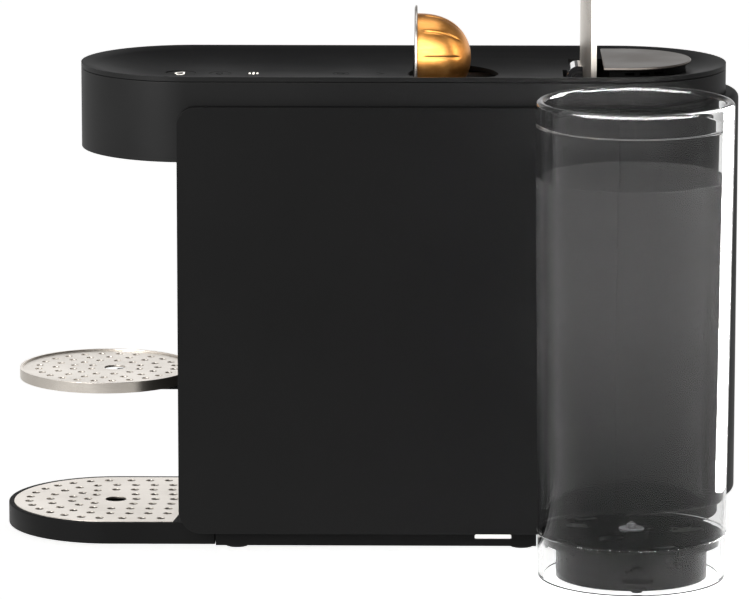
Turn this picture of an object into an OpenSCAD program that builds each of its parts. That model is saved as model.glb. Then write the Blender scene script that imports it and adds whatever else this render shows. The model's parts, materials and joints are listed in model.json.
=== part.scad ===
// Pod coffee machine: a slim body with a round-ended head, a fold-down steel lever,
// a magnetic cup support, a drip tray and a clear water tank on a swivel arm.
// The origin is on the ground, under the centre of the round rear end.
// +X points to the rear, -Y to the tank's side and +Z up.

/* [Head] */
// Width of the head, and so the diameter of its round ends
head_w = 120; // [116:1:124]
// Distance between the centres of the head's two round ends
head_span = 232; // [228:1:240]
// Height of the head's rim above the ground
rim_z = 259; // [256:1:264]
// Height of the whole head slab
head_h = 46.5; // [44:0.5:48]
// Depth of the dish in the top, at its middle
dish_d = 7; // [6.5:0.5:7.5]
// Width of the flat rim round the dish
rim_w = 1.5; // [1:0.5:2]
// Height of the top cover's edge band
band_h = 2.5; // [2:0.5:3]
// Wall thickness of the head's plastic parts
head_wall = 2.5; // [2:0.1:3]
// Width of the shadow line between outer parts
seam = 0.3; // [0.2:0.05:0.4]

/* [Side and rear covers] */
// How far the covers stand out from the head's side
cover_proud = 7; // [6.5:0.5:8]
// Wall thickness of the covers
cover_wall = 2.5; // [2:0.1:3]
// Height of the covers' top edge above the ground
cover_top_z = 243.5; // [240:0.5:246]
// Height of the side covers' bottom edge above the ground
cover_bottom_z = 9.4; // [9:0.1:10.5]
// Height of the rear cover's bottom edge above the ground
rear_bottom_z = 21; // [19.5:0.5:23]
// Corner radius at the front top of a side cover
corner_top_r = 10; // [8:1:12]
// Corner radius at the front bottom of a side cover
corner_bottom_r = 12.5; // [10:0.5:14]
// Rounding of the rear cover's top and bottom edges
rear_edge_r = 3.5; // [2.5:0.5:4]
// Radius of the bosses that carry the covers
boss_r = 4.5; // [4:0.25:5]

/* [Front] */
// Distance of the cup axis ahead of the head's front centre
cup_ahead = 43; // [41:0.5:44]
// Distance of the front face ahead of the head's front centre
face_ahead = 5; // [4:0.5:6]
// Radius of the hollow in the front that cups stand in
nest_r = 62; // [60:0.5:64]
// Thickness of the front frame behind its flat face
front_t = 28; // [27:0.5:30]
// Width of the posts beside the opening for the pod bin
post_w = 9.5; // [9:0.25:10.5]
// Height of the lintel under the head
lintel_h = 8.8; // [8:0.2:9.4]

/* [Base] */
// Height of the base pan's underside above the ground
pan_low_z = 1.4; // [1.2:0.1:1.8]
// Height of the base pan's edge above the ground
pan_top_z = 9.2; // [8.8:0.1:9.4]
// Wall thickness of the base pan
pan_wall = 2.6; // [2.2:0.1:3]
// Distance of the pan's front end behind the head's front centre
pan_inset = 14.5; // [12:0.5:18]
// Distance of the pan's full-width end ahead of the rear centre
pan_back = 43; // [40:1:46]
// Radius of a foot
foot_r = 6.2; // [5.5:0.1:7]
// Distance of the feet's centres from the pan's sides
foot_side = 7.2; // [7.2:0.1:10]
// Distance of the front feet's centres from the pan's front end
foot_inset = 11.5; // [9:0.5:15]
// Distance of the middle feet ahead of the rear centre
foot_mid = 51; // [50:0.5:54]

/* [Drip tray] */
// Width of the drip tray
tray_w = 116; // [112:1:118]
// Height of the tray's top above the ground
tray_z = 13.4; // [13:0.1:14]
// Distance of the tray's round front centre ahead of the cup axis
tray_ahead = 1.2; // [0:0.1:2]
// Width of the tray's plastic edge round the grid
tray_edge = 2.6; // [2:0.1:3]
// Width of the ledge that carries the grid
ledge_w = 2.2; // [2:0.1:3]
// Thickness of the tray's floor
tray_floor = 2.4; // [2:0.1:3]
// Thickness of the steel grid
grid_t = 1.2; // [1:0.1:1.5]
// Radius of the grid's gently curved rear edge
grid_rear_r = 330; // [300:10:360]
// How far the middle of the grid's rear edge reaches behind the front face
grid_under = 0.8; // [0.4:0.1:1.2]
// Radius of a hole in the grid
grid_hole_r = 2.3; // [2:0.1:2.5]
// Spacing of the hole rows
grid_row = 11.7; // [11.3:0.1:11.8]
// Spacing of the holes along a row
grid_step = 10.5; // [10:0.1:11]
// Radius of the drain hole in the middle of the grid
drain_r = 5.8; // [5:0.2:6]

/* [Cup support] */
// Radius of the cup support
disc_r = 48; // [46:0.5:49]
// Height of the cup support's top edge above the ground
disc_z = 88.9; // [86:0.5:90]
// Height of its edge band
disc_h = 5.9; // [5:0.1:7]
// Width of its edge band
disc_edge = 1.4; // [1.2:0.1:2]
// Thickness of its sheet
disc_t = 1.2; // [1:0.1:1.5]
// Distance of its centre ahead of the cup axis
disc_ahead = 4.4; // [4:0.1:5]
// Radius of its holes
disc_hole_r = 2; // [1.8:0.1:2.2]
// Spacing of its hole rings
disc_ring = 9.4; // [9.1:0.1:9.8]
// Width of the magnet bracket behind it
bracket_w = 44; // [40:1:48]

/* [Pod] */
// Radius of the pod's rim
pod_rim_r = 28.4; // [27.8:0.1:28.8]
// Thickness of the pod's rim
pod_rim_t = 1.4; // [1.2:0.1:1.6]
// Radius of the pod's dome where it meets the rim
pod_dome_r = 23.9; // [23.4:0.1:24.2]
// Depth of the pod's dome
pod_depth = 29.2; // [28.6:0.1:29.6]
// Distance of the rim's plane ahead of the rear centre
pod_ahead = 109; // [108:0.5:111]
// Height of the pod's axis above the head's rim when it is put in
pod_stand = 2.2; // [1:0.2:3]
// Free space round the pod in its chute
pod_gap = 0.8; // [0.6:0.1:1]

/* [Brew chamber] */
// Wall thickness of the chamber beside the pod
chamber_wall = 6.8; // [6.4:0.1:7.4]
// Thickness of the chamber's front wall
chamber_front = 14; // [13.5:0.25:14.5]
// Free length behind the pod's dome
chamber_back = 3; // [2.5:0.25:3.5]
// Radius of the sealing piston
piston_r = 26; // [25.5:0.1:26.3]
// Stroke of the piston
piston_stroke = 3.4; // [3:0.1:3.6]
// Thickness of the piston
piston_t = 9.4; // [9:0.1:9.6]
// Radius of the two drive rods
rod_r = 2; // [1.8:0.1:2.1]
// Radial clearance of a sliding fit
slide_fit = 0.06; // [0.04:0.01:0.08]
// Thickness of the drop gate under the chamber
gate_t = 2.9; // [2.6:0.1:3.2]

/* [Lever] */
// Width of the lever
lever_w = 70; // [66:1:72]
// Length of the lever from its hinge to its round end
lever_len = 112; // [108:1:116]
// Thickness of the lever at its middle
lever_t = 8.2; // [7.8:0.1:8.4]
// Thickness of the lever at its long edges
lever_edge_t = 3; // [2.5:0.1:3.5]
// Distance of the hinge ahead of the rear centre
hinge_ahead = 20.6; // [20:0.2:21]
// Depth of the hinge below the closed lever's flat face
hinge_deep = 9.1; // [8.9:0.1:9.5]
// Radius of the hinge barrel
barrel_r = 6.3; // [6:0.1:6.5]
// Length of the hinge barrel
barrel_len = 22; // [20:1:23]
// Radius of the hinge axle
axle_r = 2.5; // [2.2:0.1:2.8]
// Radial clearance of the lever on its axle
axle_fit = 0.05; // [0.03:0.01:0.08]
// Height of the closed lever's flat face above the rim
lever_proud = 1.8; // [1.6:0.1:2.2]
// Length of the lever behind its hinge
lever_tail = 11.4; // [11:0.1:11.6]
// Thickness of a hinge cheek
cheek_t = 5; // [4.5:0.25:5.5]

/* [Rear plate] */
// Half width of the rear plate
plate_r = 36.5; // [35:0.5:37.5]
// Distance of its round end's centre behind the rear centre
plate_behind = 4.5; // [3:0.5:5]
// Distance of its straight edge ahead of the rear centre
plate_edge = 7.6; // [7.4:0.1:8]
// Thickness of the rear plate
plate_t = 1.6; // [1.4:0.1:1.7]

/* [Buttons] */
// Radius of the brew button
brew_r = 8.2; // [7.5:0.1:8.4]
// Distance of the brew button from the head's front end
brew_in = 54.4; // [53:0.2:56]
// Radius of the cup size button
size_r = 5.9; // [5.5:0.1:6.2]
// Distance of the cup size button from the head's front end
size_in = 75.8; // [74:0.2:77]
// Radius of the indicator lens
lens_r = 2.9; // [2.5:0.1:3.2]
// Distance of the indicator lens from the head's front end
lens_in = 94.1; // [92:0.2:95]
// Radius of the power button
power_r = 4.3; // [4:0.1:4.6]
// Distance of the power button ahead of the pod's rim
power_ahead = 41.1; // [39:0.2:43]
// Travel of the buttons
button_travel = 1; // [0.8:0.1:1.2]

/* [Water tank] */
// Outer radius of the tank at its top
tank_top_r = 52.5; // [51:0.1:53]
// Outer radius of the tank at its bottom
tank_bottom_r = 49.8; // [49:0.1:50.4]
// Height of the tank's rim above the ground
tank_top_z = 256.5; // [250:0.5:260]
// Height of the tank's bottom edge above the ground
tank_low_z = 1; // [0.8:0.1:1.2]
// Wall thickness of the tank
tank_wall = 3; // [2.6:0.1:3.4]
// Wall thickness of the tank's thicker rim
tank_rim = 5.2; // [4.8:0.1:5.8]
// Height of the thicker rim
tank_rim_h = 13; // [11:0.5:14]
// Height of the tank floor's top above the ground
floor_z = 24; // [23:0.25:25]
// Thickness of the tank floor
floor_t = 4; // [3.5:0.1:4.5]
// Free space between the tank and the side cover
tank_gap = 2.8; // [2.5:0.1:4]
// Direction of the tank from the swivel axis, in degrees from +X
tank_angle = -87; // [-90:1:-86]

/* [Tank dock] */
// Radius of the dock
dock_r = 40.2; // [39:0.2:42]
// Width of the swivel arm
arm_w = 40; // [36:1:42]
// Thickness of the swivel arm
arm_t = 6.2; // [5.8:0.1:6.4]
// Height of the swivel arm's underside above the ground
arm_z = 2.2; // [2.1:0.1:2.4]
// Radius of the arm's ring round the swivel post
ring_r = 34; // [32:0.5:36]
// Radius of the swivel post
post_r = 12; // [11:0.5:13]
// Radial clearance of the swivel ring on its post
post_fit = 0.08; // [0.05:0.01:0.1]
// Width of the latch recess in the dock
latch_w = 16.3; // [15:0.1:17]
// Radius of the latch button
latch_r = 3.1; // [2.8:0.1:3.4]
// Travel of the latch button
latch_travel = 1.5; // [1:0.1:2]

/* [Hidden] */
$fn = 96;

// Small distance that lets a cut run past a face
eps = 0.01;
big = 400;

// Head
head_r = head_w / 2;
head_low_z = rim_z - head_h;
head_floor_z = head_low_z + head_wall;
dish_z = rim_z - dish_d;
dish_edge_r = head_r - rim_w;
dish_arc_r = (dish_edge_r * dish_edge_r + dish_d * dish_d) / (2 * dish_d);
cover_low_z = rim_z - band_h;
head_in_r = head_r - head_wall;
lip_r = head_in_r - seam;
lip_h = 7;
skin_z = dish_z - head_wall;
head_end_x = -(head_span + head_r);
brew_x = head_end_x + brew_in;
size_x = head_end_x + size_in;
lens_x = head_end_x + lens_in;

// Front
front_x = -(head_span + face_ahead);
cup_x = -(head_span + cup_ahead);
frame_back_x = front_x + front_t;
portal_top_z = head_low_z - lintel_h - seam;
wall_top_z = 93;
shelf_t = 3;
shelf_z = wall_top_z + shelf_t;
post_in_y = head_r - post_w;

// Covers
cover_y = head_r + cover_proud;
cover_in_y = head_r + seam / 2;
cover_x = front_x - seam;
cover_edge = 3.5;
spine_y = head_r - 6;
spine_t = 2.5;
spine_in_y = spine_y - spine_t;
spine_back_x = 10;
boss_front_x = frame_back_x + 19;
boss_back_x = -30;
boss_low_z = 34;
boss_high_z = 196;
rear_boss_low_z = 60;
rear_boss_high_z = 190;
screw_r = 1.5;
screw_head_r = 3;
screw_fit = 0.05;
screw_len = 6;
screw_head_t = 1.8;

// Pod and brew chamber
pod_x = -pod_ahead;
power_x = pod_x - power_ahead;
foil_t = 0.4;
pod_z = rim_z + pod_stand;
pod_low_z = dish_z - pod_rim_r - 2.6;
pod_drop = pod_z - pod_low_z;
chute_x = pod_x - pod_rim_t / 2 - foil_t - pod_gap;
chute_rim_x = pod_x + pod_rim_t / 2 + pod_gap;
chute_back_x = pod_x + pod_rim_t / 2 + pod_depth + chamber_back;
chute_rim_y = pod_rim_r + pod_gap;
chute_dome_y = pod_dome_r + pod_gap;
chamber_x0 = chute_x - chamber_front;
chamber_x1 = chute_back_x + 10;
chamber_y = chute_rim_y + chamber_wall;
gate_z = pod_low_z - pod_rim_r - 0.5 - gate_t;
deck_t = 4.2;
gate_y = 28;
gate_gap = 0.3;
gate_travel = 46;
chamber_top_z = skin_z - 0.5;
finger_z = chamber_top_z - 11;
rod_y = chute_rim_y + chamber_wall / 2;
piston_x = chute_x + 0.4 - piston_stroke - piston_t;
seal_t = 1;
yoke_t = 4.3;
yoke_x = piston_x - 10.5;
neck_r = 8;
tail_r = 3.2;
tail_len = 16;
duct_r = 4.7;
nozzle_r = 12;
nozzle_drop = 3;
nozzle_t = 1.2;
duct_x1 = yoke_x - 4;

// Lever, in its closed place
hinge_x = -hinge_ahead;
hinge_z = rim_z + lever_proud - hinge_deep;
lever_top_z = rim_z + lever_proud;
lever_r = lever_w / 2;
lever_low_z = lever_top_z - lever_t;
lever_bulge = lever_t - lever_edge_t;
lever_arc_r = (lever_r * lever_r + lever_bulge * lever_bulge) / (2 * lever_bulge);
lever_end_x = hinge_x - lever_len;
lever_back_x = hinge_x + lever_tail;
cheek_y = barrel_len / 2 + 0.4;
bracket_t = 4;
bracket_front = 18;
bracket_back = 16;
bracket_side = 1;
cheek_r = 4.2;
cheek_foot = 12;
cheek_low = 6;
slot_front_x = hinge_x - 4.6;
slot_y = lever_r + 2.5;
notch_x = hinge_x - barrel_r - 2;

// Rear plate
plate_z = lever_top_z - plate_t;
plate_x = plate_behind;
carrier_x = -4.4;
carrier_inset = 3;

// Bin
bin_y = post_in_y - 1.2;
bin_wall = 2;
bin_back_x = -70;
bin_top_z = gate_z - deck_t - 1;

// Base
pan_front = head_span - pan_inset;
hub_plate_r = spine_in_y - 0.5;
foot_x = foot_inset - pan_front;
foot_y = head_r - foot_side;
rib_out = 9;
rib_in = 14;

// Drip tray
tray_r = tray_w / 2;
tray_x = cup_x - tray_ahead;
tray_low_z = pan_low_z;
tray_back_x = -pan_front - seam;
tray_floor_z = tray_low_z + tray_floor;
grid_z = tray_z - grid_t;
grid_r = tray_r - tray_edge - seam;
grid_rear_x = front_x + grid_under;
tray_foot_ahead = 26.3;
tray_foot_x = tray_x - tray_foot_ahead;
tray_foot_r = 3;
tray_foot_y = 30;
foot_pin_r = 2;
flange_r = post_r + 4;

// Cup support
disc_x = cup_x - disc_ahead;
sheet_z = disc_z - 0.9 - disc_t;
wall_face_x = cup_x + nest_r;
magnet_r = 4;
magnet_t = 2;
magnet_deep = 6;
magnet_side = 8;
magnet_low = 7;
bracket_h = 14;
bracket_ledge = 1.2;
bracket_step = 3;
rail_y = 22;
rail_t = 1.5;
rail_end = 6;

// Tank, drawn on its own axis and then moved to its place
tank_reach = (cover_y + tank_gap + tank_top_r) / sin(-tank_angle);
tank_x = tank_reach * cos(tank_angle);
tank_y = tank_reach * sin(tank_angle);
tank_in_r = tank_bottom_r - tank_wall;
floor_low_z = floor_z - floor_t;
floor_r = tank_in_r - 0.1;
dock_low_z = tank_low_z + 0.6;
post_low_z = 1;
deck_low_z = pan_top_z + pan_wall;
hub_top_z = rear_bottom_z - seam;
spigot_r = 4;
valve_seat_r = 8.8;
valve_r = 2.4;
valve_seat_z = floor_z + 1;
valve_lift = 1.2;
spigot_top_z = floor_z - 1.5;

// Water and power parts
meter_r = 13;
meter_gap = 6;
meter_x = -(hub_plate_r + meter_gap + meter_r);
meter_pipe = 34;
meter_pipe_r = 5;
pump_front = 27;
pump_x0 = frame_back_x + pump_front;
pump_x1 = meter_x - meter_pipe;
pump_r = 21;
pump_z = 44;
pump_end = 8;
rib_t = 4;
heater_x0 = -48;
heater_x1 = 0;
heater_y = 30;
heater_z0 = 86;
heater_z1 = 160;
hose_r = 3.5;
hose_hole_r = hose_r + seam;
brew_hose_x = heater_x0 + 8;
brew_hose_y = 38;
needle_r = 4;
needle_x1 = chamber_x1 + 8;
inlet_x = -112;
inlet_z = 60;
inlet_r = 11;
board_z = chamber_top_z - 12;
board_t = 1.6;
board_y = 20;
board_front = 12;
board_back = 8;
pillar_r = 2.5;
pillar_in = 5;
fin_t = 3;
fin_step = 12;
fin_out = 6;
lug_y = 10;
lug_in = 30;
hose_bend = 5;
hose_low = 7;
hose_high = 11;
hose_in = 12;
hose_turn = 16;
hose_gap = 4;
inlet_flange = 4;
inlet_deep = 14;

// Plate behind the notch in the pan's near edge
notch_x0 = -76.2;
notch_x1 = -56.9;
notch_z = 5.4;
notch_top_z = pan_top_z - 0.2;

// Basic shapes

module stadium(r, x0, x1) {
    translate([x0, 0]) circle(r);
    translate([x1, 0]) circle(r);
    translate([x0, -r]) square([x1 - x0, 2 * r]);
}

module slab(r, x0, x1, z0, z1) {
    translate([0, 0, z0]) linear_extrude(z1 - z0) stadium(r, x0, x1);
}

// A block given by its low and high corners
module block(a, b) {
    translate(a) cube([b[0] - a[0], b[1] - a[1], b[2] - a[2]]);
}

// A block that lies evenly on both sides of the middle plane
module mid_block(x0, x1, y, z0, z1) {
    block([x0, -y, z0], [x1, y, z1]);
}

module rod_x(r, x0, x1, y, z) {
    translate([x0, y, z]) rotate([0, 90, 0]) cylinder(r = r, h = x1 - x0);
}

module rod_y(r, y0, y1, x, z) {
    translate([x, y0, z]) rotate([-90, 0, 0]) cylinder(r = r, h = y1 - y0);
}

module post(r, z0, z1, x = 0, y = 0) {
    translate([x, y, z0]) cylinder(r = r, h = z1 - z0);
}

module both_sides() {
    children();
    mirror([0, 1, 0]) children();
}

// Base

module base_pan() {
    color("#1d1d1e")
    difference() {
        union() {
            mid_block(-pan_front, -pan_back, head_r, pan_low_z, pan_top_z);
            post(hub_plate_r, pan_top_z, hub_top_z);
            mid_block(frame_back_x, 0, hub_plate_r, pan_top_z - eps, deck_low_z);
            both_sides() pump_rib();
        }
        mid_block(pan_wall - pan_front, -pan_back - pan_wall, head_r - pan_wall,
            pan_low_z - 1, pan_top_z - pan_wall);
        post(hub_plate_r - pan_wall, deck_low_z, hub_top_z - pan_wall);
        post(post_r, pan_top_z - 5, deck_low_z + 1);
        post(hose_hole_r, 0, big);
        insert_cut(seam);
        for (x = [foot_x, -foot_mid])
            both_sides() post(foot_pin_r, pan_low_z - 1, pan_top_z + 1, x, foot_y);
    }
}

module pump_rib() {
    for (x = [pump_x0 + rib_in, pump_x1 - rib_in - rib_t])
        difference() {
            block([x, 0, pan_top_z - eps], [x + rib_t, pump_r + rib_out, pump_z]);
            rod_x(pump_r, x - 1, x + rib_t + 1, 0, pump_z);
        }
}

// Pale plate behind the notch in the pan's near edge
module insert_cut(gap) {
    block([notch_x0 - gap, -head_r - 1, notch_z - gap], [notch_x1 + gap, -head_r + pan_wall + 1, notch_top_z]);
}

module notch_insert() {
    color("#f2f2f0")
    block([notch_x0, -head_r + 0.5, notch_z], [notch_x1, -head_r + pan_wall, notch_top_z]);
}

module foot(x, y) {
    color("#2b2b2b") {
        post(foot_r, 0, pan_low_z, x, y);
        post(foot_pin_r - slide_fit, pan_low_z, pan_top_z - pan_wall, x, y);
    }
}

module foot_1() foot(foot_x, -foot_y);
module foot_2() foot(foot_x, foot_y);
module foot_3() foot(-foot_mid, -foot_y);
module foot_4() foot(-foot_mid, foot_y);

// Rubber pad under the swivel post
module foot_5() {
    color("#2b2b2b") post(flange_r, 0, post_low_z);
}

// Post that carries the swivel ring between its flange and the pan
module swivel_post() {
    color("#77787a")
    difference() {
        union() {
            post(flange_r, post_low_z, arm_z - 0.15);
            post(post_r, post_low_z, deck_low_z);
        }
        post(5, arm_z, big);
    }
}

// Front frame: low wall, two posts and a lintel round the bin's opening

module nest_outline(inset) {
    difference() {
        translate([front_x, -head_r + seam / 2])
            square([front_t, head_w - seam]);
        translate([cup_x, 0]) circle(nest_r - inset);
    }
}

module front_frame() {
    color("#1b1b1c")
    difference() {
        translate([0, 0, tray_z + seam])
            linear_extrude(head_low_z - seam - tray_z - seam) nest_outline(0);
        mid_block(front_x - 1, frame_back_x + 1, post_in_y, wall_top_z, portal_top_z);
    }
}

module bin_front() {
    color("#1f1f20")
    intersection() {
        translate([0, 0, wall_top_z + seam])
            linear_extrude(portal_top_z - wall_top_z - 2 * seam) nest_outline(0);
        mid_block(front_x - 1, frame_back_x, post_in_y - seam, 0, big);
    }
}

// Inner frame: two side plates, a rear wall, the bin's shelf and the chamber's deck

module spine() {
    color("#3a3b3d")
    difference() {
        union() {
            both_sides()
                block([frame_back_x, spine_in_y, deck_low_z], [spine_back_x, spine_y, head_low_z]);
            mid_block(spine_back_x - 3, spine_back_x, spine_in_y + eps, hub_top_z, head_low_z);
            mid_block(frame_back_x, bin_back_x + 8, spine_in_y + eps, wall_top_z, shelf_z);
            mid_block(chamber_x0 - 6, hinge_x, spine_in_y + eps, gate_z - deck_t, gate_z);
        }
        mid_block(chute_x, chute_back_x, chute_rim_y, gate_z - deck_t - 1, gate_z + 1);
        for (x = [boss_front_x, boss_back_x], z = [boss_low_z, boss_high_z])
            rod_y(screw_r + screw_fit, -spine_y - 1, spine_y + 1, x, z);
        rod_y(inlet_r + seam, spine_in_y - 1, spine_y + 1, inlet_x, inlet_z);
        post(hose_hole_r, gate_z - deck_t - 1, gate_z + 1, brew_hose_x, brew_hose_y);
    }
}

module screws() {
    color("#9c9c9a")
    for (x = [boss_front_x, boss_back_x], z = [boss_low_z, boss_high_z])
        both_sides() {
            rod_y(screw_r, spine_in_y, spine_y + screw_len, x, z);
            rod_y(screw_head_r, spine_in_y - screw_head_t, spine_in_y, x, z);
        }
}

// Head

module head_shell() {
    color("#262627")
    difference() {
        slab(head_r, -head_span, 0, head_low_z, cover_low_z - seam);
        slab(head_in_r, -head_span, 0, head_floor_z, rim_z);
        intersection() {
            slab(head_in_r - 4, -head_span, 0, head_low_z - 1, rim_z);
            mid_block(frame_back_x, big, head_r, head_low_z - 1, rim_z);
        }
        post(nozzle_r + seam, head_low_z - 1, head_floor_z + 1, cup_x);
    }
}

// Everything inside a dish that follows the head's outline
module dish_body(r) {
    z = dish_z + dish_arc_r;
    rod_x(r, -head_span, 0, 0, z);
    for (x = [-head_span, 0]) translate([x, 0, z]) sphere(r, $fn = 200);
}

module pod_hole() {
    x = chute_back_x + 12 - chute_dome_y;
    block([chute_x, -chute_rim_y, 0], [chute_rim_x, chute_rim_y, big]);
    block([chute_rim_x - eps, -chute_dome_y, 0], [x, chute_dome_y, big]);
    post(chute_dome_y, 0, big, x);
}

module lever_hole() {
    mid_block(slot_front_x, -plate_edge + 3, slot_y, 0, big);
    mid_block(notch_x, slot_front_x + eps, barrel_len / 2 + 2, 0, big);
}

module plate_outline(inset) {
    intersection() {
        union() {
            translate([plate_x, 0]) circle(plate_r - inset);
            translate([-plate_edge, -plate_r + inset]) square([plate_edge + plate_x, 2 * (plate_r - inset)]);
        }
        translate([-plate_edge, -big]) square([big, 2 * big]);
    }
}

module top_cover() {
    color("#303031")
    difference() {
        union() {
            slab(head_r, -head_span, 0, cover_low_z, rim_z);
            slab(lip_r, -head_span, 0, cover_low_z - lip_h, cover_low_z + eps);
        }
        dish_body(dish_arc_r);
        difference() {
            slab(lip_r - head_wall, -head_span, 0, cover_low_z - lip_h - 1, rim_z);
            dish_body(dish_arc_r + head_wall);
        }
        pod_hole();
        lever_hole();
        translate([0, 0, cover_low_z - lip_h]) linear_extrude(big) plate_outline(carrier_inset - seam);
        post(brew_r + seam, 0, big, brew_x);
        post(size_r + seam, 0, big, size_x);
        post(lens_r + seam, 0, big, lens_x);
        post(power_r + seam, 0, big, power_x);
    }
}

module rear_plate() {
    color("#837d75")
    translate([0, 0, plate_z]) linear_extrude(plate_t) plate_outline(0);
}

// Black support under the rear plate, with a row of vents in its near side
module plate_carrier() {
    color("#161616")
    difference() {
        intersection() {
            translate([0, 0, skin_z - 2]) linear_extrude(plate_z - skin_z + 2) plate_outline(carrier_inset);
            mid_block(carrier_x, big, big, 0, big);
        }
        translate([0, 0, skin_z - 3]) linear_extrude(plate_z - skin_z) intersection() {
            plate_outline(carrier_inset + 3);
            translate([carrier_x + 3, -big]) square([big, 2 * big]);
        }
        for (x = [4, 12, 20])
            block([x, -plate_r, dish_z + 4.2], [x + 5, 0, dish_z + 5.6]);
    }
}

// Covers

module cover_outline(inset) {
    x0 = cover_x + inset;
    x1 = -inset - seam / 2;
    z0 = cover_bottom_z + inset;
    z1 = cover_top_z - inset;
    rt = corner_top_r - inset;
    rb = corner_bottom_r - inset;
    translate([x0 + rt, z1 - rt]) circle(rt);
    translate([x0 + rb, z0 + rb]) circle(rb);
    translate([x0, z0 + rb]) square([x1 - x0, z1 - rt - z0 - rb]);
    translate([x0 + rt, z1 - rt - eps]) square([x1 - x0 - rt, rt + eps]);
    translate([x0 + rb, z0]) square([x1 - x0 - rb, rb + eps]);
}

// A side cover: a shallow pan with bosses that reach the inner frame
module side_cover() {
    difference() {
        union() {
            difference() {
                translate([0, cover_y, 0]) rotate([90, 0, 0])
                    linear_extrude(cover_y - cover_in_y) cover_outline(0);
                translate([0, cover_y - cover_wall, 0]) rotate([90, 0, 0])
                    linear_extrude(cover_y - cover_wall) cover_outline(cover_edge);
            }
            for (x = [boss_front_x, boss_back_x], z = [boss_low_z, boss_high_z])
                rod_y(boss_r, spine_y, cover_y - cover_wall + eps, x, z);
        }
        for (x = [boss_front_x, boss_back_x], z = [boss_low_z, boss_high_z])
            rod_y(screw_r + screw_fit, spine_y - 1, spine_y + screw_len + 1, x, z);
    }
}

module cover_near() {
    color("#1a1a1b") mirror([0, 1, 0]) side_cover();
}

module cover_far() {
    color("#1a1a1b")
    difference() {
        side_cover();
        rod_y(inlet_r + seam, spine_y, cover_y + 1, inlet_x, inlet_z);
    }
}

// Outline of the rear cover's wall: a shell with a flange at its top and bottom
module rear_profile() {
    r = cover_y;
    e = rear_edge_r;
    difference() {
        union() {
            translate([cover_in_y, rear_bottom_z + e]) square([r - cover_in_y, cover_top_z - rear_bottom_z - 2 * e]);
            translate([cover_in_y, rear_bottom_z]) square([r - e - cover_in_y, cover_top_z - rear_bottom_z]);
            for (z = [rear_bottom_z + e, cover_top_z - e]) translate([r - e, z]) circle(e);
        }
        translate([cover_in_y - 1, rear_bottom_z + cover_edge])
            square([r - cover_wall - cover_in_y + 1, cover_top_z - rear_bottom_z - 2 * cover_edge]);
    }
}

module cover_rear() {
    color("#1a1a1b") {
        rotate([0, 0, -90]) rotate_extrude(angle = 180) rear_profile();
        for (z = [rear_boss_low_z, rear_boss_high_z]) rod_x(boss_r, spine_back_x, cover_y - cover_wall + 1, 0, z);
        both_sides() block([0, cover_in_y, rear_bottom_z + 10], [3, cover_y - 1, cover_top_z - 10]);
    }
}

// Lever and its hinge

module lever_outline() {
    translate([lever_end_x + lever_r, 0]) circle(lever_r);
    translate([lever_end_x + lever_r, -lever_r]) square([lever_back_x - lever_end_x - lever_r, lever_w]);
}

module lever_closed() {
    difference() {
        union() {
            intersection() {
                translate([0, 0, lever_low_z]) linear_extrude(lever_t) lever_outline();
                rod_x(lever_arc_r, lever_end_x - 1, lever_back_x + 1, 0, lever_low_z + lever_arc_r);
            }
            rod_y(barrel_r, -barrel_len / 2, barrel_len / 2, hinge_x, hinge_z);
        }
        rod_y(axle_r + axle_fit, -barrel_len, barrel_len, hinge_x, hinge_z);
        both_sides()
            block([hinge_x - 6.5, cheek_y - 0.5, 0], [big, cheek_y + cheek_t + 0.5, big]);
    }
}

module lever() {
    color("#d8d2ca")
    translate([hinge_x, 0, hinge_z]) rotate([0, 90, 0]) translate([-hinge_x, 0, -hinge_z]) lever_closed();
}

module lever_axle() {
    y = cheek_y + cheek_t;
    color("#b9b7b2") rod_y(axle_r, -y, y, hinge_x, hinge_z);
}

module lever_bracket() {
    color("#3a3b3d")
    difference() {
        union() {
            mid_block(hinge_x - bracket_front, hinge_x + bracket_back, spine_y - bracket_side,
                head_low_z, head_low_z + bracket_t);
            both_sides() {
                block([hinge_x - cheek_foot, cheek_y, head_low_z], [hinge_x, cheek_y + cheek_t, hinge_z - cheek_r]);
                rod_y(cheek_r, cheek_y, cheek_y + cheek_t, hinge_x, hinge_z);
                block([hinge_x - cheek_r, cheek_y, hinge_z - cheek_low], [hinge_x, cheek_y + cheek_t, hinge_z]);
            }
        }
        rod_y(axle_r + axle_fit, -spine_y, spine_y, hinge_x, hinge_z);
    }
}

// Pod, drawn where it stands when put in

// Radius of the dome at a share of its depth
function dome_r(t) = pod_dome_r * pow(1 - pow(t, 2.4), 0.5);

module dome_outline(shift) {
    dome_steps = 12;
    polygon(concat(
        [[0, 0]],
        [for (i = [0 : dome_steps - 1]) [dome_r(i / dome_steps) - shift, pod_depth * i / dome_steps]],
        [[5.5, pod_depth - shift], [0, pod_depth - shift]]
    ));
}

module pod_shell() {
    wall = 0.6;
    color("#c8843c")
    translate([pod_x - pod_rim_t / 2, 0, pod_z]) rotate([0, 90, 0])
    difference() {
        union() {
            cylinder(r = pod_rim_r, h = pod_rim_t);
            translate([0, 0, pod_rim_t]) rotate_extrude() dome_outline(0);
        }
        translate([0, 0, pod_rim_t - eps]) rotate_extrude() dome_outline(wall);
        translate([0, 0, -1]) cylinder(r = pod_dome_r - wall, h = pod_rim_t + 1);
    }
}

module pod_foil() {
    color("#d9d4cd")
    rod_x(pod_rim_r - 1, pod_x - pod_rim_t / 2 - foil_t, pod_x - pod_rim_t / 2, 0, pod_z);
}

// Brew chamber

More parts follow.
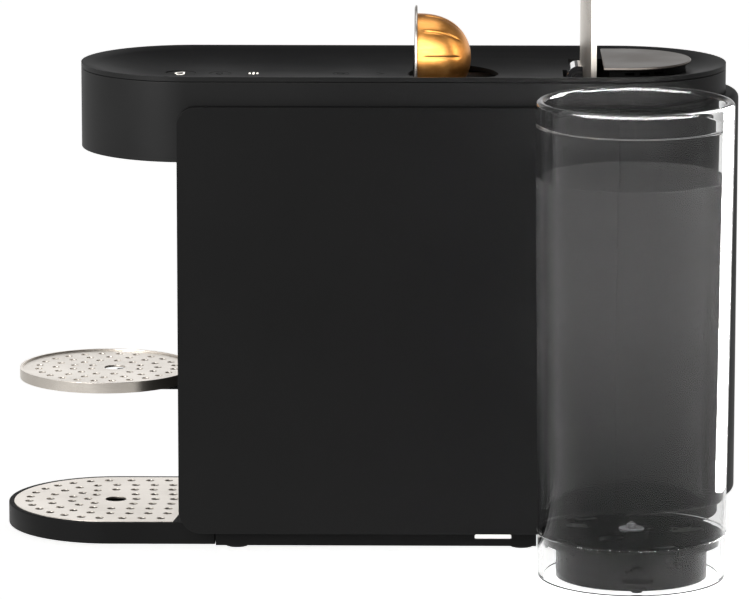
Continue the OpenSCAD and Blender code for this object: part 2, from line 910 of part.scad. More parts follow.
module brew_chamber() {
    color("#4a4b4d")
    difference() {
        mid_block(chamber_x0, chamber_x1, chamber_y, gate_z, chamber_top_z);
        block([chute_x, -chute_rim_y, 0], [chute_rim_x, chute_rim_y, big]);
        block([chute_rim_x - eps, -chute_dome_y, 0], [chute_back_x, chute_dome_y, big]);
        mid_block(chute_back_x - eps, chamber_x1 + 1, chute_dome_y, finger_z, big);
        mid_block(chute_x - 1.5, chamber_x1 + 1, gate_y + gate_gap, 0, gate_z + gate_t + gate_gap);
        rod_x(piston_r + slide_fit, chamber_x0 - 1, chute_x + 1, 0, pod_low_z);
        both_sides() rod_x(rod_r + slide_fit, chamber_x0 - 1, chamber_x1 + 1, rod_y, pod_low_z);
        rod_x(needle_r, chute_back_x - 1, chamber_x1 + 1, 0, pod_low_z);
    }
}

module water_needle() {
    color("#b08d4a") {
        rod_x(needle_r, chute_back_x, needle_x1, 0, pod_low_z);
        rod_x(needle_r + 3, chamber_x1, chamber_x1 + 3, 0, pod_low_z);
    }
}

module piston() {
    color("#6d6e70")
    difference() {
        union() {
            rod_x(piston_r, piston_x, piston_x + piston_t - seal_t, 0, pod_low_z);
            rod_x(neck_r, yoke_x, piston_x + eps, 0, pod_low_z);
            rod_x(tail_r, yoke_x - tail_len, yoke_x + eps, 0, pod_low_z);
            mid_block(yoke_x, yoke_x + yoke_t, rod_y + 4, pod_low_z - 6, pod_low_z + 6);
            both_sides() rod_x(rod_r, yoke_x, hinge_x - 16, rod_y, pod_low_z);
        }
        rod_x(1.5, yoke_x - tail_len - 1, piston_x + piston_t, 0, pod_low_z);
    }
}

module piston_seal() {
    x = piston_x + piston_t - seal_t;
    color("#8d2f25")
    difference() {
        rod_x(piston_r - 0.5, x, x + seal_t, 0, pod_low_z);
        rod_x(piston_r - 5, x - 1, x + seal_t + 1, 0, pod_low_z);
    }
}

module drop_gate() {
    color("#7c7d80") mid_block(chute_x - 1, chamber_x1 - 4, gate_y, gate_z, gate_z + gate_t);
}

module outlet_duct() {
    color("#2f3033")
    difference() {
        union() {
            rod_x(duct_r, cup_x, duct_x1, 0, pod_low_z);
            post(duct_r + 2, head_floor_z + nozzle_t, pod_low_z + duct_r + 2, cup_x);
            mid_block(cup_x + 24, cup_x + 28, duct_r, head_floor_z, pod_low_z);
        }
        rod_x(tail_r + slide_fit, duct_x1 - tail_len - 2, duct_x1 + 1, 0, pod_low_z);
        rod_x(1.8, cup_x, duct_x1, 0, pod_low_z);
        post(1.8, head_low_z, pod_low_z, cup_x);
    }
}

module coffee_nozzle() {
    color("#8e8c88")
    difference() {
        union() {
            post(nozzle_r, head_low_z - nozzle_drop, head_floor_z, cup_x);
            post(nozzle_r + 2, head_floor_z, head_floor_z + nozzle_t, cup_x);
        }
        post(4.5, head_low_z - nozzle_drop - 1, head_low_z, cup_x);
        post(1.8, head_low_z - nozzle_drop - 1, big, cup_x);
    }
}

// Water and power parts

module pump() {
    color("#8a8b8d") {
        rod_x(pump_r, pump_x0, pump_x1, 0, pump_z);
        rod_x(pump_end - 1, pump_x0 - pump_end, pump_x0 + eps, 0, pump_z);
        rod_x(pump_end - 1, pump_x1 - eps, pump_x1 + pump_end, 0, pump_z);
    }
}

// Cast heating block with fins on both sides, bolted to the rear wall
module heater() {
    color("#9fa1a3") {
        mid_block(heater_x0, heater_x1, heater_y, heater_z0, heater_z1);
        for (z = [heater_z0 + fin_out : fin_step : heater_z1 - 2 * fin_t - 2])
            mid_block(heater_x0 + 4, heater_x1 - 4, heater_y + fin_out, z, z + fin_t);
        mid_block(heater_x1 - eps, spine_back_x - 3, lug_y, heater_z0 + lug_in, heater_z1 - lug_in);
    }
}

module flow_meter() {
    color("#d6d3cc") {
        post(meter_r, deck_low_z, pump_z + pump_end, meter_x);
        rod_x(meter_pipe_r, pump_x1 + pump_end, meter_x, 0, pump_z);
    }
}

module hose(points) {
    for (i = [0 : len(points) - 2]) {
        a = points[i];
        b = points[i + 1];
        if (a[0] != b[0]) rod_x(hose_r, min(a[0], b[0]), max(a[0], b[0]), a[1], a[2]);
        if (a[1] != b[1]) rod_y(hose_r, min(a[1], b[1]), max(a[1], b[1]), a[0], a[2]);
        if (a[2] != b[2]) post(hose_r, min(a[2], b[2]), max(a[2], b[2]), a[0], a[1]);
        if (i > 0) translate(a) sphere(hose_r);
    }
}

// From the swivel post's hollow middle to the flow meter
module hose_suction() {
    z = hub_top_z + hose_low;
    color("#e4e2dc") hose([[0, 0, deck_low_z], [0, 0, z], [meter_x + meter_r, 0, z]]);
}

// From the pump's outlet at its front, over the pump to the heater's underside
module hose_pressure() {
    x0 = pump_x0 - 2 * pump_end;
    x1 = heater_x0 + hose_in;
    z = pump_z + pump_r + hose_high;
    color("#e4e2dc")
    hose([[pump_x0 - pump_end, 0, pump_z], [x0, 0, pump_z], [x0, 0, z], [x1, 0, z], [x1, 0, heater_z0]]);
}

// From the heater's top, past the drop gate, to the needle behind the brew chamber
module hose_brew() {
    x = needle_x1 + hose_gap;
    z0 = heater_z1 + hose_bend;
    z1 = gate_z + hose_turn;
    color("#e4e2dc")
    hose([[brew_hose_x, 0, heater_z1], [brew_hose_x, 0, z0], [brew_hose_x, brew_hose_y, z0],
        [brew_hose_x, brew_hose_y, z1], [x, brew_hose_y, z1], [x, 0, z1],
        [x, 0, pod_low_z], [needle_x1, 0, pod_low_z]]);
}

// Round appliance inlet in the far side, with a recess for the lead's socket
module power_inlet() {
    color("#141414")
    difference() {
        union() {
            rod_y(inlet_r, spine_in_y - inlet_deep, cover_y - 0.5, inlet_x, inlet_z);
            rod_y(inlet_r + inlet_flange, spine_in_y - 2, spine_in_y, inlet_x, inlet_z);
        }
        rod_y(inlet_r - 2, cover_y - 16, cover_y, inlet_x, inlet_z);
    }
}

// Circuit board under the buttons, on four pillars from the head's floor
module control_board() {
    color("#1f6b3a") {
        mid_block(brew_x - board_front, power_x + board_back, board_y, board_z, board_z + board_t);
        for (x = [brew_x - board_back, frame_back_x - pillar_in])
            both_sides() post(pillar_r, head_floor_z, board_z + eps, x, board_y - pillar_in);
    }
}

module button(r, x) {
    color("#2c2c2d") {
        post(r, skin_z - 2, dish_z, x);
        post(r + 1, skin_z - 3.2, skin_z - 2 + eps, x);
    }
}

module brew_button() button(brew_r, brew_x);
module size_button() button(size_r, size_x);
module power_button() button(power_r, power_x);

module indicator_lens() {
    color("#f4f4f2") post(lens_r, board_z + board_t, dish_z, lens_x);
}

// Bin, with its concave front above

module pod_bin() {
    color("#2a2a2b")
    difference() {
        mid_block(frame_back_x, bin_back_x, bin_y, shelf_z, bin_top_z);
        mid_block(frame_back_x + bin_wall, bin_back_x - bin_wall, bin_y - bin_wall, shelf_z + bin_wall, big);
    }
}

// Drip tray

module tray() {
    color("#1e1e1f")
    difference() {
        slab_front(tray_r, tray_back_x, tray_low_z, tray_z);
        grid_plate(grid_r + seam, seam, grid_z, tray_z + 1);
        grid_plate(grid_r - ledge_w, -ledge_w, tray_floor_z, tray_z + 1);
    }
}

// A plate with a round front end and a square rear end
module slab_front(r, x1, z0, z1) {
    translate([0, 0, z0]) linear_extrude(z1 - z0) {
        translate([tray_x, 0]) circle(r);
        translate([tray_x, -r]) square([x1 - tray_x, 2 * r]);
    }
}

module tray_feet() {
    color("#2b2b2b") both_sides() post(tray_foot_r, 0, tray_low_z, tray_foot_x, tray_foot_y);
}

// The grid's outline: round in front, with a gently curved rear edge
module grid_plate(r, gap, z0, z1) {
    intersection() {
        slab_front(r, grid_rear_x + gap, z0, z1);
        post(grid_rear_r + gap, z0, z1, grid_rear_x - grid_rear_r);
    }
}

// A row of holes round the front, and from there straight back on both sides
module hole_row(r, n, first, start) {
    for (i = [first : n - first]) let (a = 90 + 180 * i / n)
        post(grid_hole_r, 0, big, tray_x + r * cos(a), r * sin(a));
    straight_holes(r, start);
}

module straight_holes(y, start) {
    for (x = [tray_x + start * grid_step : grid_step : grid_rear_x - 6])
        both_sides() post(grid_hole_r, 0, big, x, y);
}

module grid() {
    color("#d8d2ca")
    difference() {
        grid_plate(grid_r, 0, grid_z, tray_z);
        hole_row(4 * grid_row, 14, 0.5, 0.7);
        hole_row(3 * grid_row, 10, 0, 1);
        hole_row(2 * grid_row, 7, 0, 1);
        straight_holes(grid_row, 1.1);
        straight_holes(0, 1.2);
        for (a = [135 : 45 : 225]) let (r = drain_r + 8.5)
            post(grid_hole_r, 0, big, tray_x + r * cos(a), r * sin(a));
        post(drain_r, 0, big, cup_x);
    }
}

// Cup support: a steel dish with rings of holes, held by magnets at the back

module disc_hole(r, a) {
    post(disc_hole_r, 0, big, r * cos(a), r * sin(a));
}

module cup_disc() {
    color("#d8d2ca")
    difference() {
        translate([disc_x, 0, 0]) difference() {
            post(disc_r, disc_z - disc_h, disc_z);
            post(disc_r - disc_edge, sheet_z + disc_t, disc_z + 1);
            post(disc_r - disc_edge, disc_z - disc_h - 1, sheet_z);
            for (a = [150, 210]) disc_hole(disc_ring, a);
            for (a = [15 : 30 : 345]) disc_hole(2 * disc_ring, a);
            for (a = [0 : 22.5 : 337.5]) disc_hole(3 * disc_ring, a);
            for (a = [7.5 : 15 : 352.5]) disc_hole(4 * disc_ring, a);
        }
        post(drain_r, 0, big, cup_x);
    }
}

// Plastic block between the support and the concave front
module cup_bracket() {
    color("#1e1e1f")
    difference() {
        intersection() {
            mid_block(cup_x, wall_face_x, bracket_w / 2, disc_z - disc_h - bracket_h, sheet_z);
            post(nest_r - 0.3, 0, big, cup_x);
        }
        post(disc_r, disc_z - disc_h, big, disc_x);
        post(disc_r - bracket_ledge, 0, disc_z - disc_h - bracket_step, disc_x);
        both_sides() magnet_seat();
    }
}

module magnet_seat() {
    x = wall_face_x - magnet_deep;
    rod_x(magnet_r, x, x + magnet_t, bracket_w / 2 - magnet_side, disc_z - disc_h - magnet_low);
}

module cup_magnets() {
    color("#a9aaac") both_sides() magnet_seat();
}

// Steel strip behind the low front wall that the magnets hold on to
module magnet_rail() {
    color("#a9aaac") mid_block(frame_back_x, frame_back_x + rail_t, rail_y, tray_z + rail_end, wall_top_z - rail_end);
}

// Tank, dock and swivel arm

module at_tank() {
    translate([tank_x, tank_y, 0]) children();
}

// Turned so that +X in it points from the swivel axis to the tank
module along_arm() {
    rotate([0, 0, tank_angle]) children();
}

// Arm from the ring round the swivel post to the dock's rim
module tank_arm() {
    color("#1b1b1c")
    along_arm() difference() {
        translate([0, 0, arm_z]) linear_extrude(arm_t) union() {
            circle(ring_r);
            translate([post_r + 4, -arm_w / 2]) square([tank_reach - dock_r - post_r, arm_w]);
        }
        post(post_r + post_fit, 0, big);
        post(dock_r, 0, big, tank_reach);
    }
}

// Latch recess, cut into the side of the dock that faces away from the machine
module latch_cut() {
    along_arm() block([tank_reach + dock_r - 5, -latch_w / 2, 5.6], [tank_reach + dock_r + 5, latch_w / 2, 18.5]);
}

module latch_pin(r, x0, x1) {
    along_arm() rod_x(r, tank_reach + x0, tank_reach + x1, 0, 10.5);
}

module dock() {
    color("#1b1b1c")
    difference() {
        at_tank() post(dock_r, dock_low_z, floor_low_z);
        at_tank() post(dock_r - 10, dock_low_z - 1, floor_low_z - 3);
        latch_cut();
        latch_pin(latch_r + slide_fit, dock_r - 12, dock_r);
        at_tank() post(spigot_r, 0, big);
    }
}

module dock_foot() {
    color("#2b2b2b")
    along_arm() post(3, 0, dock_low_z, tank_reach + dock_r - 5);
}

module dock_spigot() {
    color("#77787a") at_tank() difference() {
        post(spigot_r, floor_low_z - 8, spigot_top_z);
        post(2, 0, big);
    }
}

module latch_button() {
    color("#2a2a2b") latch_pin(latch_r, dock_r - 9, dock_r - 2.4);
}

module tank() {
    rim_r = tank_rim / 2;
    rim_mid_r = tank_top_r - rim_r;
    rim_mid_z = tank_top_z - rim_r;
    ledge_z = tank_top_z - tank_rim_h;
    color([0.85, 0.9, 0.92, 0.35])
    difference() {
        at_tank() rotate_extrude() polygon(concat(
            [[tank_in_r, tank_low_z], [tank_bottom_r, tank_low_z]],
            [for (a = [0 : 22.5 : 180]) [rim_mid_r + rim_r * cos(a), rim_mid_z + rim_r * sin(a)]],
            [[tank_top_r - tank_rim, ledge_z], [tank_top_r - tank_wall, ledge_z - 0.5]]
        ));
        along_arm() block([tank_reach / 2, -arm_w / 2 - 2, 0], [tank_reach, arm_w / 2 + 2, arm_z + arm_t + 1.2]);
    }
}

module tank_floor() {
    color("#1b1b1c") at_tank() difference() {
        union() {
            post(floor_r, floor_low_z, floor_z);
            post(valve_seat_r, floor_z - eps, floor_z + 2.5);
        }
        post(spigot_r + 0.3, floor_low_z - 1, spigot_top_z + 0.3);
        post(valve_r + 0.3, 0, big);
        post(valve_seat_r - 2, valve_seat_z, floor_z + 3);
    }
}

module tank_valve() {
    color("#77787a") at_tank() {
        post(valve_r, spigot_top_z, floor_z + 5.5);
        post(valve_seat_r - 2.3, valve_seat_z + valve_lift, valve_seat_z + valve_lift + 1);
    }
}

base_pan();
swivel_post();
foot_1();
foot_2();
foot_3();
foot_4();
foot_5();
front_frame();
spine();
head_shell();
top_cover();
cover_near();
cover_far();
cover_rear();
rear_plate();
plate_carrier();
lever_bracket();
lever_axle();
brew_chamber();
water_needle();
outlet_duct();
coffee_nozzle();
pump();
heater();
flow_meter();
control_board();
hose_suction();
hose_pressure();
hose_brew();
power_inlet();
magnet_rail();
screws();
indicator_lens();
notch_insert();
lever();
pod_shell();
pod_foil();
piston();
piston_seal();
drop_gate();
pod_bin();
bin_front();
tray();
tray_feet();
grid();
cup_disc();
cup_bracket();
cup_magnets();
tank_arm();
dock();
dock_foot();
dock_spigot();
latch_button();
tank();
tank_floor();
tank_valve();
brew_button();
size_button();
power_button();
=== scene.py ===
"""Looks of a slim pod coffee machine with a clear water tank on a swivel arm.

Every solid of the fixed frame is dressed here: its hard edges are softened, its surface gets a
finish, and the pieces that a plain solid can't show, such as the water, the pod's pressed grooves
and the lit icons, are modelled in full. Sizes are in millimetres until a piece is finished.
"""

import json
import logging
import math
from dataclasses import dataclass, field
from enum import Enum
from typing import Any, Callable, ClassVar, Sequence

import bmesh
import bpy
from bpy.types import Material, Node, NodeSocket, NodeTree, Object
from mathutils import Matrix, Vector

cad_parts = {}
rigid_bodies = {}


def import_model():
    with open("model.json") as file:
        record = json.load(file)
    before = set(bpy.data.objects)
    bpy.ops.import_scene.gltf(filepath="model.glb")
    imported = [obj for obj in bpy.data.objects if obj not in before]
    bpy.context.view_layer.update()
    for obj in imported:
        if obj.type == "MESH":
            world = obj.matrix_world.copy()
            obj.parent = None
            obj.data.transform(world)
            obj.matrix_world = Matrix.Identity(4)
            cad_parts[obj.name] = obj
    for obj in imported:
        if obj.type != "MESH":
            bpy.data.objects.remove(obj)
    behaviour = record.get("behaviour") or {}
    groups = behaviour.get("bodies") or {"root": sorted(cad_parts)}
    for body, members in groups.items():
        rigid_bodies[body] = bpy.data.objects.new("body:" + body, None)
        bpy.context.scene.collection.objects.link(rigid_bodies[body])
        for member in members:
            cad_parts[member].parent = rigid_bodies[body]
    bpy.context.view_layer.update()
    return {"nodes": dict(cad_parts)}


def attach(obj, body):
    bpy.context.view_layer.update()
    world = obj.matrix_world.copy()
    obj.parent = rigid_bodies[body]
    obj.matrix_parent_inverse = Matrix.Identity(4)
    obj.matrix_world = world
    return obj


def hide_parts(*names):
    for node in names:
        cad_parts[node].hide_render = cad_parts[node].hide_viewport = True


for leftover in list(bpy.data.objects):
    bpy.data.objects.remove(leftover)
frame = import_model()
LOG = logging.getLogger("pod_machine")
MM = 0.001
TURN = 2.0 * math.pi
ALONG = Vector((1.0, 0.0, 0.0))
UP = Vector((0.0, 0.0, 1.0))
Point = tuple[float, float]
Place = tuple[float, float, float]


# Finishes


def linear(hex_colour: str) -> tuple[float, float, float, float]:
    """Turns an sRGB hex colour into the linear colour that a shader wants.

    Args:
        hex_colour: Six hex digits after a hash.

    Returns:
        Linear red, green, blue and an alpha of 1.
    """
    parts = [int(hex_colour[i : i + 2], 16) / 255.0 for i in (1, 3, 5)]
    flat = [c / 12.92 if c <= 0.04045 else ((c + 0.055) / 1.055) ** 2.4 for c in parts]
    return (flat[0], flat[1], flat[2], 1.0)


def add_node(tree: NodeTree, kind: str, inputs: dict[str, Any] | None = None, **settings: Any) -> Node:
    """Adds a node, sets its properties, and fills or links its inputs.

    Args:
        tree: The node tree that gets the node.
        kind: The node's type name.
        inputs: Values or output sockets by input name or index.
        **settings: Properties of the node itself.

    Returns:
        The new node.
    """
    made = tree.nodes.new(kind)
    for key, value in settings.items():
        setattr(made, key, value)
    for key, value in (inputs or {}).items():
        socket = made.inputs[key]
        if isinstance(value, NodeSocket):
            tree.links.new(value, socket)
        else:
            socket.default_value = value
    return made


def add_sum(tree: NodeTree, operation: str, *values: float | NodeSocket) -> NodeSocket:
    """Adds a node that works out one sum of numbers or sockets, and returns its result."""
    return add_node(tree, "ShaderNodeMath", dict(enumerate(values)), operation=operation).outputs["Value"]


def add_ramp(tree: NodeTree, value: NodeSocket, span: Point, gives: Point, kind: str = "SMOOTHSTEP") -> NodeSocket:
    """Adds a node that turns one span of values into another, and returns its result."""
    return add_node(tree, "ShaderNodeMapRange", {
        "Value": value, "From Min": span[0], "From Max": span[1], "To Min": gives[0], "To Max": gives[1],
    }, interpolation_type=kind).outputs["Result"]


def add_tones(tree: NodeTree, share: NodeSocket, stops: Sequence[tuple[float, str]]) -> NodeSocket:
    """Adds a ramp between two hex colours.

    Args:
        tree: The node tree that gets the node.
        share: Runs from 0 to 1.
        stops: Place and colour of both ends of the ramp.

    Returns:
        The socket with the colour.
    """
    made = add_node(tree, "ShaderNodeValToRGB", {"Fac": share})
    for stop, (position, colour) in zip(made.color_ramp.elements, stops):
        stop.position = position
        stop.color = linear(colour)
    return made.outputs["Color"]


class Surface(Enum):
    """How a surface was made, which decides its pattern."""

    MOULDED = "moulded"
    BRUSHED = "brushed"
    CAST = "cast"
    FOIL = "foil"
    CLEAR = "clear"
    LIT = "lit"


@dataclass(frozen=True)
class Finish:
    """One finish: its colours, its gloss and the scale of its pattern.

    The grain is the size in millimetres of the smallest mark that the surface shows, and the cloud
    that of its slow changes. Real grains under about 0.3 mm are drawn a little coarser, so that they
    still show at arm's length. The relief is the depth of the marks in millimetres. The veil is
    a loss of clearness that grows from one height in millimetres to another.
    """

    name: str
    colour: str
    shade: str
    surface: Surface
    slot: str
    roughness: float
    spread: float = 0.05
    metallic: float = 0.0
    ior: float = 1.5
    specular: float = 0.5
    grain: float = 0.5
    cloud: float = 30.0
    relief: float = 0.02
    stretch: Place = (1.0, 1.0, 1.0)
    transmission: float = 0.0
    coat: float = 0.0
    sheen: float = 0.0
    glow: float = 0.0
    veil: Place = (0.0, 1.0, 0.0)

    # Where the pattern's depth falls between the shade and the colour
    TONE_SPAN: ClassVar[Point] = (0.12, 0.42)
    # The span of the cloud noise that the gloss follows
    CLOUD_SPAN: ClassVar[Point] = (0.3, 0.7)
    # Strength of the bump for each millimetre of relief
    BUMP_GAIN: ClassVar[float] = 10.0
    COAT_ROUGHNESS: ClassVar[float] = 0.1

    def material(self) -> Material:
        """Returns the finish as a material, made on first use."""
        found = bpy.data.materials.get(self.name)
        return found if found is not None else self._make()

    def _make(self) -> Material:
        """Builds the node tree: fine grain, slow clouds, and what they do to colour and gloss."""
        made = bpy.data.materials.new(self.name)
        made.use_nodes = True
        tree = made.node_tree
        shader = tree.nodes["Principled BSDF"]
        place = add_node(tree, "ShaderNodeTexCoord")
        fine = add_node(tree, "ShaderNodeMapping", {
            "Vector": place.outputs["Object"],
            "Scale": tuple(s / (self.grain * MM) for s in self.stretch),
        })
        slow = add_node(tree, "ShaderNodeMapping", {
            "Vector": place.outputs["Object"],
            "Scale": (1.0 / (self.cloud * MM),) * 3,
        })
        clouds = add_node(tree, "ShaderNodeTexNoise", {
            "Vector": slow.outputs["Vector"], "Scale": 1.0, "Detail": 3.0, "Roughness": 0.55,
        })
        height = self._height(tree, fine.outputs["Vector"])
        depth = add_sum(tree, "MULTIPLY", height, clouds.outputs["Fac"])
        tone = add_tones(tree, depth, list(zip(self.TONE_SPAN, (self.shade, self.colour))))
        gloss = add_ramp(tree, clouds.outputs["Fac"], self.CLOUD_SPAN,
                         (max(self.roughness - self.spread, 0.0), self.roughness + self.spread), "LINEAR")
        bump = add_node(tree, "ShaderNodeBump", {
            "Height": height, "Strength": min(1.0, self.relief * self.BUMP_GAIN), "Distance": self.relief * MM,
        })
        tree.links.new(tone, shader.inputs["Base Color"])
        tree.links.new(gloss, shader.inputs["Roughness"])
        tree.links.new(bump.outputs["Normal"], shader.inputs["Normal"])
        self._pass_light(tree, place.outputs["Object"], shader.inputs["Transmission Weight"])
        for socket, value in (
            ("Metallic", self.metallic), ("IOR", self.ior), ("Specular IOR Level", self.specular),
            ("Coat Weight", self.coat), ("Coat Roughness", self.COAT_ROUGHNESS), ("Sheen Weight", self.sheen),
        ):
            shader.inputs[socket].default_value = value
        if self.glow > 0.0:
            shader.inputs["Emission Color"].default_value = linear(self.colour)
            shader.inputs["Emission Strength"].default_value = self.glow
        return made

    def _pass_light(self, tree: NodeTree, place: NodeSocket, weight: NodeSocket) -> None:
        """Sets how much light goes through, less where the veil hangs.

        Args:
            tree: The material's node tree.
            place: Object coordinates.
            weight: The shader's transmission socket.
        """
        low, high, loss = self.veil
        weight.default_value = self.transmission
        if loss > 0.0:
            split = add_node(tree, "ShaderNodeSeparateXYZ", {"Vector": place})
            clear = add_ramp(tree, split.outputs["Z"], (low * MM, high * MM),
                             (self.transmission, self.transmission - loss), "LINEAR")
            tree.links.new(clear, weight)

    def _height(self, tree: NodeTree, vector: NodeSocket) -> NodeSocket:
        """Adds the pattern of this finish's surface.

        Args:
            tree: The material's node tree.
            vector: Coordinates already scaled to the grain.

        Returns:
            A socket that runs from 0 to 1 over the pattern.
        """
        if self.surface is Surface.CAST:
            cells = add_node(tree, "ShaderNodeTexVoronoi", {"Vector": vector, "Scale": 1.0}, feature="SMOOTH_F1")
            return cells.outputs["Distance"]
        detail = {Surface.MOULDED: 4.0, Surface.BRUSHED: 2.0, Surface.FOIL: 5.0}.get(self.surface, 1.0)
        noise = add_node(tree, "ShaderNodeTexNoise", {
            "Vector": vector, "Scale": 1.0, "Detail": detail, "Roughness": 0.6,
        })
        return noise.outputs["Fac"]


# Spark-eroded ABS: an even fine grain that spreads the light into a satin sheen
SATIN_ABS = Finish("satin_abs", "#202020", "#1c1c1c", Surface.MOULDED, "black_satin", 0.42, 0.04,
                   specular=0.14, grain=0.45, cloud=45.0, relief=0.012)
# Fine-moulded ABS of the dished top and its buttons: darker and duller than the head's side
DISH_ABS = Finish("dish_abs", "#0f0f10", "#0c0c0d", Surface.MOULDED, "black_satin", 0.45,
                  specular=0.07, grain=0.4, cloud=60.0, relief=0.01)
# Soft-touch painted ABS of the covers: near black, with hardly any gloss
MATT_PAINT = Finish("matt_paint", "#121212", "#0f0f0f", Surface.MOULDED, "black_cover", 0.55,
                    specular=0.14, grain=0.35, cloud=70.0, relief=0.008)
# Black ABS of the tray, the base and what lies in the shade, painted the darkest black, without shine: painted shade
# on the parts in the shade, and on the tray and base against the light they catch from the floor's glow
DARK_ABS = Finish("dark_abs", "#0f0f0f", "#0c0c0c", Surface.MOULDED, "dark_plastic", 0.5, 0.06,
                  specular=0.12, cloud=25.0, relief=0.015)
# Acetal and ABS mouldings of the dock and tank floor: smooth, with a low shine
SMOOTH_ABS = Finish("smooth_abs", "#0e0e0e", "#0b0b0b", Surface.MOULDED, "black_satin", 0.25,
                    specular=0.3, grain=0.6, cloud=20.0, relief=0.006)
# Glass-filled nylon: short fibres cloud its grey
GREY_NYLON = Finish("grey_nylon", "#6f7072", "#57585a", Surface.MOULDED, "grey_plastic", 0.5, 0.08,
                    grain=0.8, cloud=12.0, stretch=(1.0, 0.3, 1.0))
# Moulded polypropylene and silicone hose: milky white
MILKY = Finish("milky_polypropylene", "#e8e6e0", "#dad7cf", Surface.MOULDED, "white_plastic", 0.38, 0.06,
               grain=0.7, cloud=15.0, relief=0.008, sheen=0.1)
# White plastic insert of the notch. Its glow is painted light: it keeps the insert pure white in the recess's shade,
# though it is no lamp
WHITE_INSERT = Finish("white_insert_painted_glow", "#f8f6f2", "#efece6", Surface.MOULDED, "white_plastic", 0.4,
                      grain=0.7, cloud=15.0, relief=0.006, glow=0.7)
# Nitrile rubber: dull, with a dusty bloom
RUBBER = Finish("nitrile_rubber", "#1a1a1a", "#121212", Surface.MOULDED, "rubber_black", 0.75, 0.06,
                specular=0.3, grain=0.6, cloud=8.0, sheen=0.15)
# Iron-red silicone of the pod seal
SILICONE = Finish("silicone_red", "#9a3323", "#7d281b", Surface.MOULDED, "seal_red", 0.45, 0.06,
                  grain=0.6, cloud=10.0, relief=0.01)
# Brushed stainless steel of the grid and cup support: fine lines along the machine
STEEL_ALONG = Finish("brushed_steel_along", "#e8e1d8", "#d3cbc1", Surface.BRUSHED, "steel_brushed", 0.33,
                     metallic=1.0, grain=0.35, cloud=40.0, relief=0.01, stretch=(0.02, 1.0, 1.0))
# Brushed stainless steel of the lever: fine lines from its hinge to its end
STEEL_LEVER = Finish("brushed_steel_lever", "#e4ddd4", "#c4bdb4", Surface.BRUSHED, "steel_brushed", 0.3,
                     metallic=1.0, grain=0.3, cloud=35.0, relief=0.01, stretch=(1.0, 1.0, 0.02))
# Zinc-plated steel of screws, rails and rods
ZINC = Finish("zinc_plate", "#b6b7b8", "#9a9b9c", Surface.CAST, "steel_plain", 0.35, 0.08,
              metallic=1.0, grain=1.2, cloud=9.0, relief=0.01)
# Satin anodised plate behind the lever: a warm brownish grey under fine lines along the machine
TAUPE_PLATE = Finish("satin_anodised_plate", "#7a736d", "#6e6862", Surface.BRUSHED, "plate_satin", 0.36,
                     metallic=1.0, grain=0.35, relief=0.008, stretch=(0.02, 1.0, 1.0))
# Polished chrome laid on the faces of the lever's barrel that look up and ahead: a painted highlight, a hard bright
# glint where the light falls
PAINTED_GLINT_CHROME = Finish("chrome_painted_glint", "#e6e6e6", "#dcdcdc", Surface.CAST, "axle_chrome", 0.08, 0.02,
                metallic=1.0, grain=2.0, cloud=10.0, relief=0.002)
# Near-black steel of the lever's barrel and axle, far darker than the lever's brushed steel: a dark knuckle with a
# soft edge of light
BLACK_STEEL = Finish("near_black_steel", "#161617", "#101011", Surface.MOULDED, "axle_chrome", 0.35,
                     specular=0.1, cloud=10.0, relief=0.004)
# Cast aluminium of the heating block: a fine sandy skin
CAST_ALUMINIUM = Finish("cast_aluminium", "#a9abad", "#8d8f91", Surface.CAST, "aluminium_cast", 0.5, 0.08,
                        metallic=1.0, grain=1.0, cloud=14.0, relief=0.06)
# Turned brass of the water needle
BRASS = Finish("turned_brass", "#c7a35a", "#a98643", Surface.BRUSHED, "brass_plain", 0.25,
               metallic=1.0, grain=0.3, cloud=8.0, relief=0.01, stretch=(1.0, 0.05, 0.05))
# Lacquered aluminium foil of the pod: a copper colour over drawn metal
COPPER_FOIL = Finish("copper_lacquered_foil", "#f2b064", "#e59a4a", Surface.FOIL, "pod_copper", 0.34,
                     metallic=1.0, grain=1.6, cloud=9.0, stretch=(0.15, 1.0, 1.0))
# Bare aluminium of the pod's rim and lid, with a faint roll mark
BARE_FOIL = Finish("bare_aluminium_foil", "#dbd6d0", "#c3beb8", Surface.FOIL, "pod_lid", 0.3,
                   metallic=1.0, grain=0.7, cloud=12.0, relief=0.01, stretch=(1.0, 0.1, 1.0))
# Clear styrene acrylonitrile of the tank: glassy, with slow flow marks from the mould. The real
# plastic's IOR is about 1.57. A lower one keeps the wall from mirroring the floor in front of it
CLEAR_SAN = Finish("clear_san_plastic", "#fcfcfc", "#f8f8f8", Surface.CLEAR, "tank_clear", 0.012, 0.01,
                   ior=1.2, grain=22.0, cloud=60.0, relief=0.001, transmission=1.0, veil=(20.0, 200.0, 0.0002))
# Fresh water: a surface that barely ripples, over a faint grey depth. Real water's IOR is 1.33. It is
# kept near that of air, so that the dark machine behind the tank shows through it hardly bent
WATER = Finish("fresh_water", "#fafafa", "#f6f6f6", Surface.CLEAR, "tank_clear", 0.0, 0.004,
               ior=1.04, grain=25.0, cloud=50.0, relief=0.002, transmission=1.0, veil=(20.0, 150.0, 0.027))
# Printed circuit board under green solder resist
CIRCUIT_GREEN = Finish("solder_resist_green", "#1d6b3a", "#14502b", Surface.CAST, "board_green", 0.35, 0.06,
                       grain=1.6, cloud=12.0, coat=0.3)
# Backlit white ink of the icons: a soft even light
LIT_INK = Finish("backlit_white_ink", "#fbf6ee", "#efe9df", Surface.LIT, "white_plastic", 0.4, 0.04,
                 cloud=6.0, relief=0.002, glow=0.9)
# Unlit ink of the other icons: hardly lighter than the plastic round it
GREY_INK = Finish("unlit_grey_ink", "#0b0b0b", "#070707", Surface.MOULDED, "dark_plastic", 0.5,
                  specular=0.03, cloud=6.0, relief=0.002)


# Shapes


Accent = tuple[Finish, Callable[[bmesh.types.BMFace], bool]]


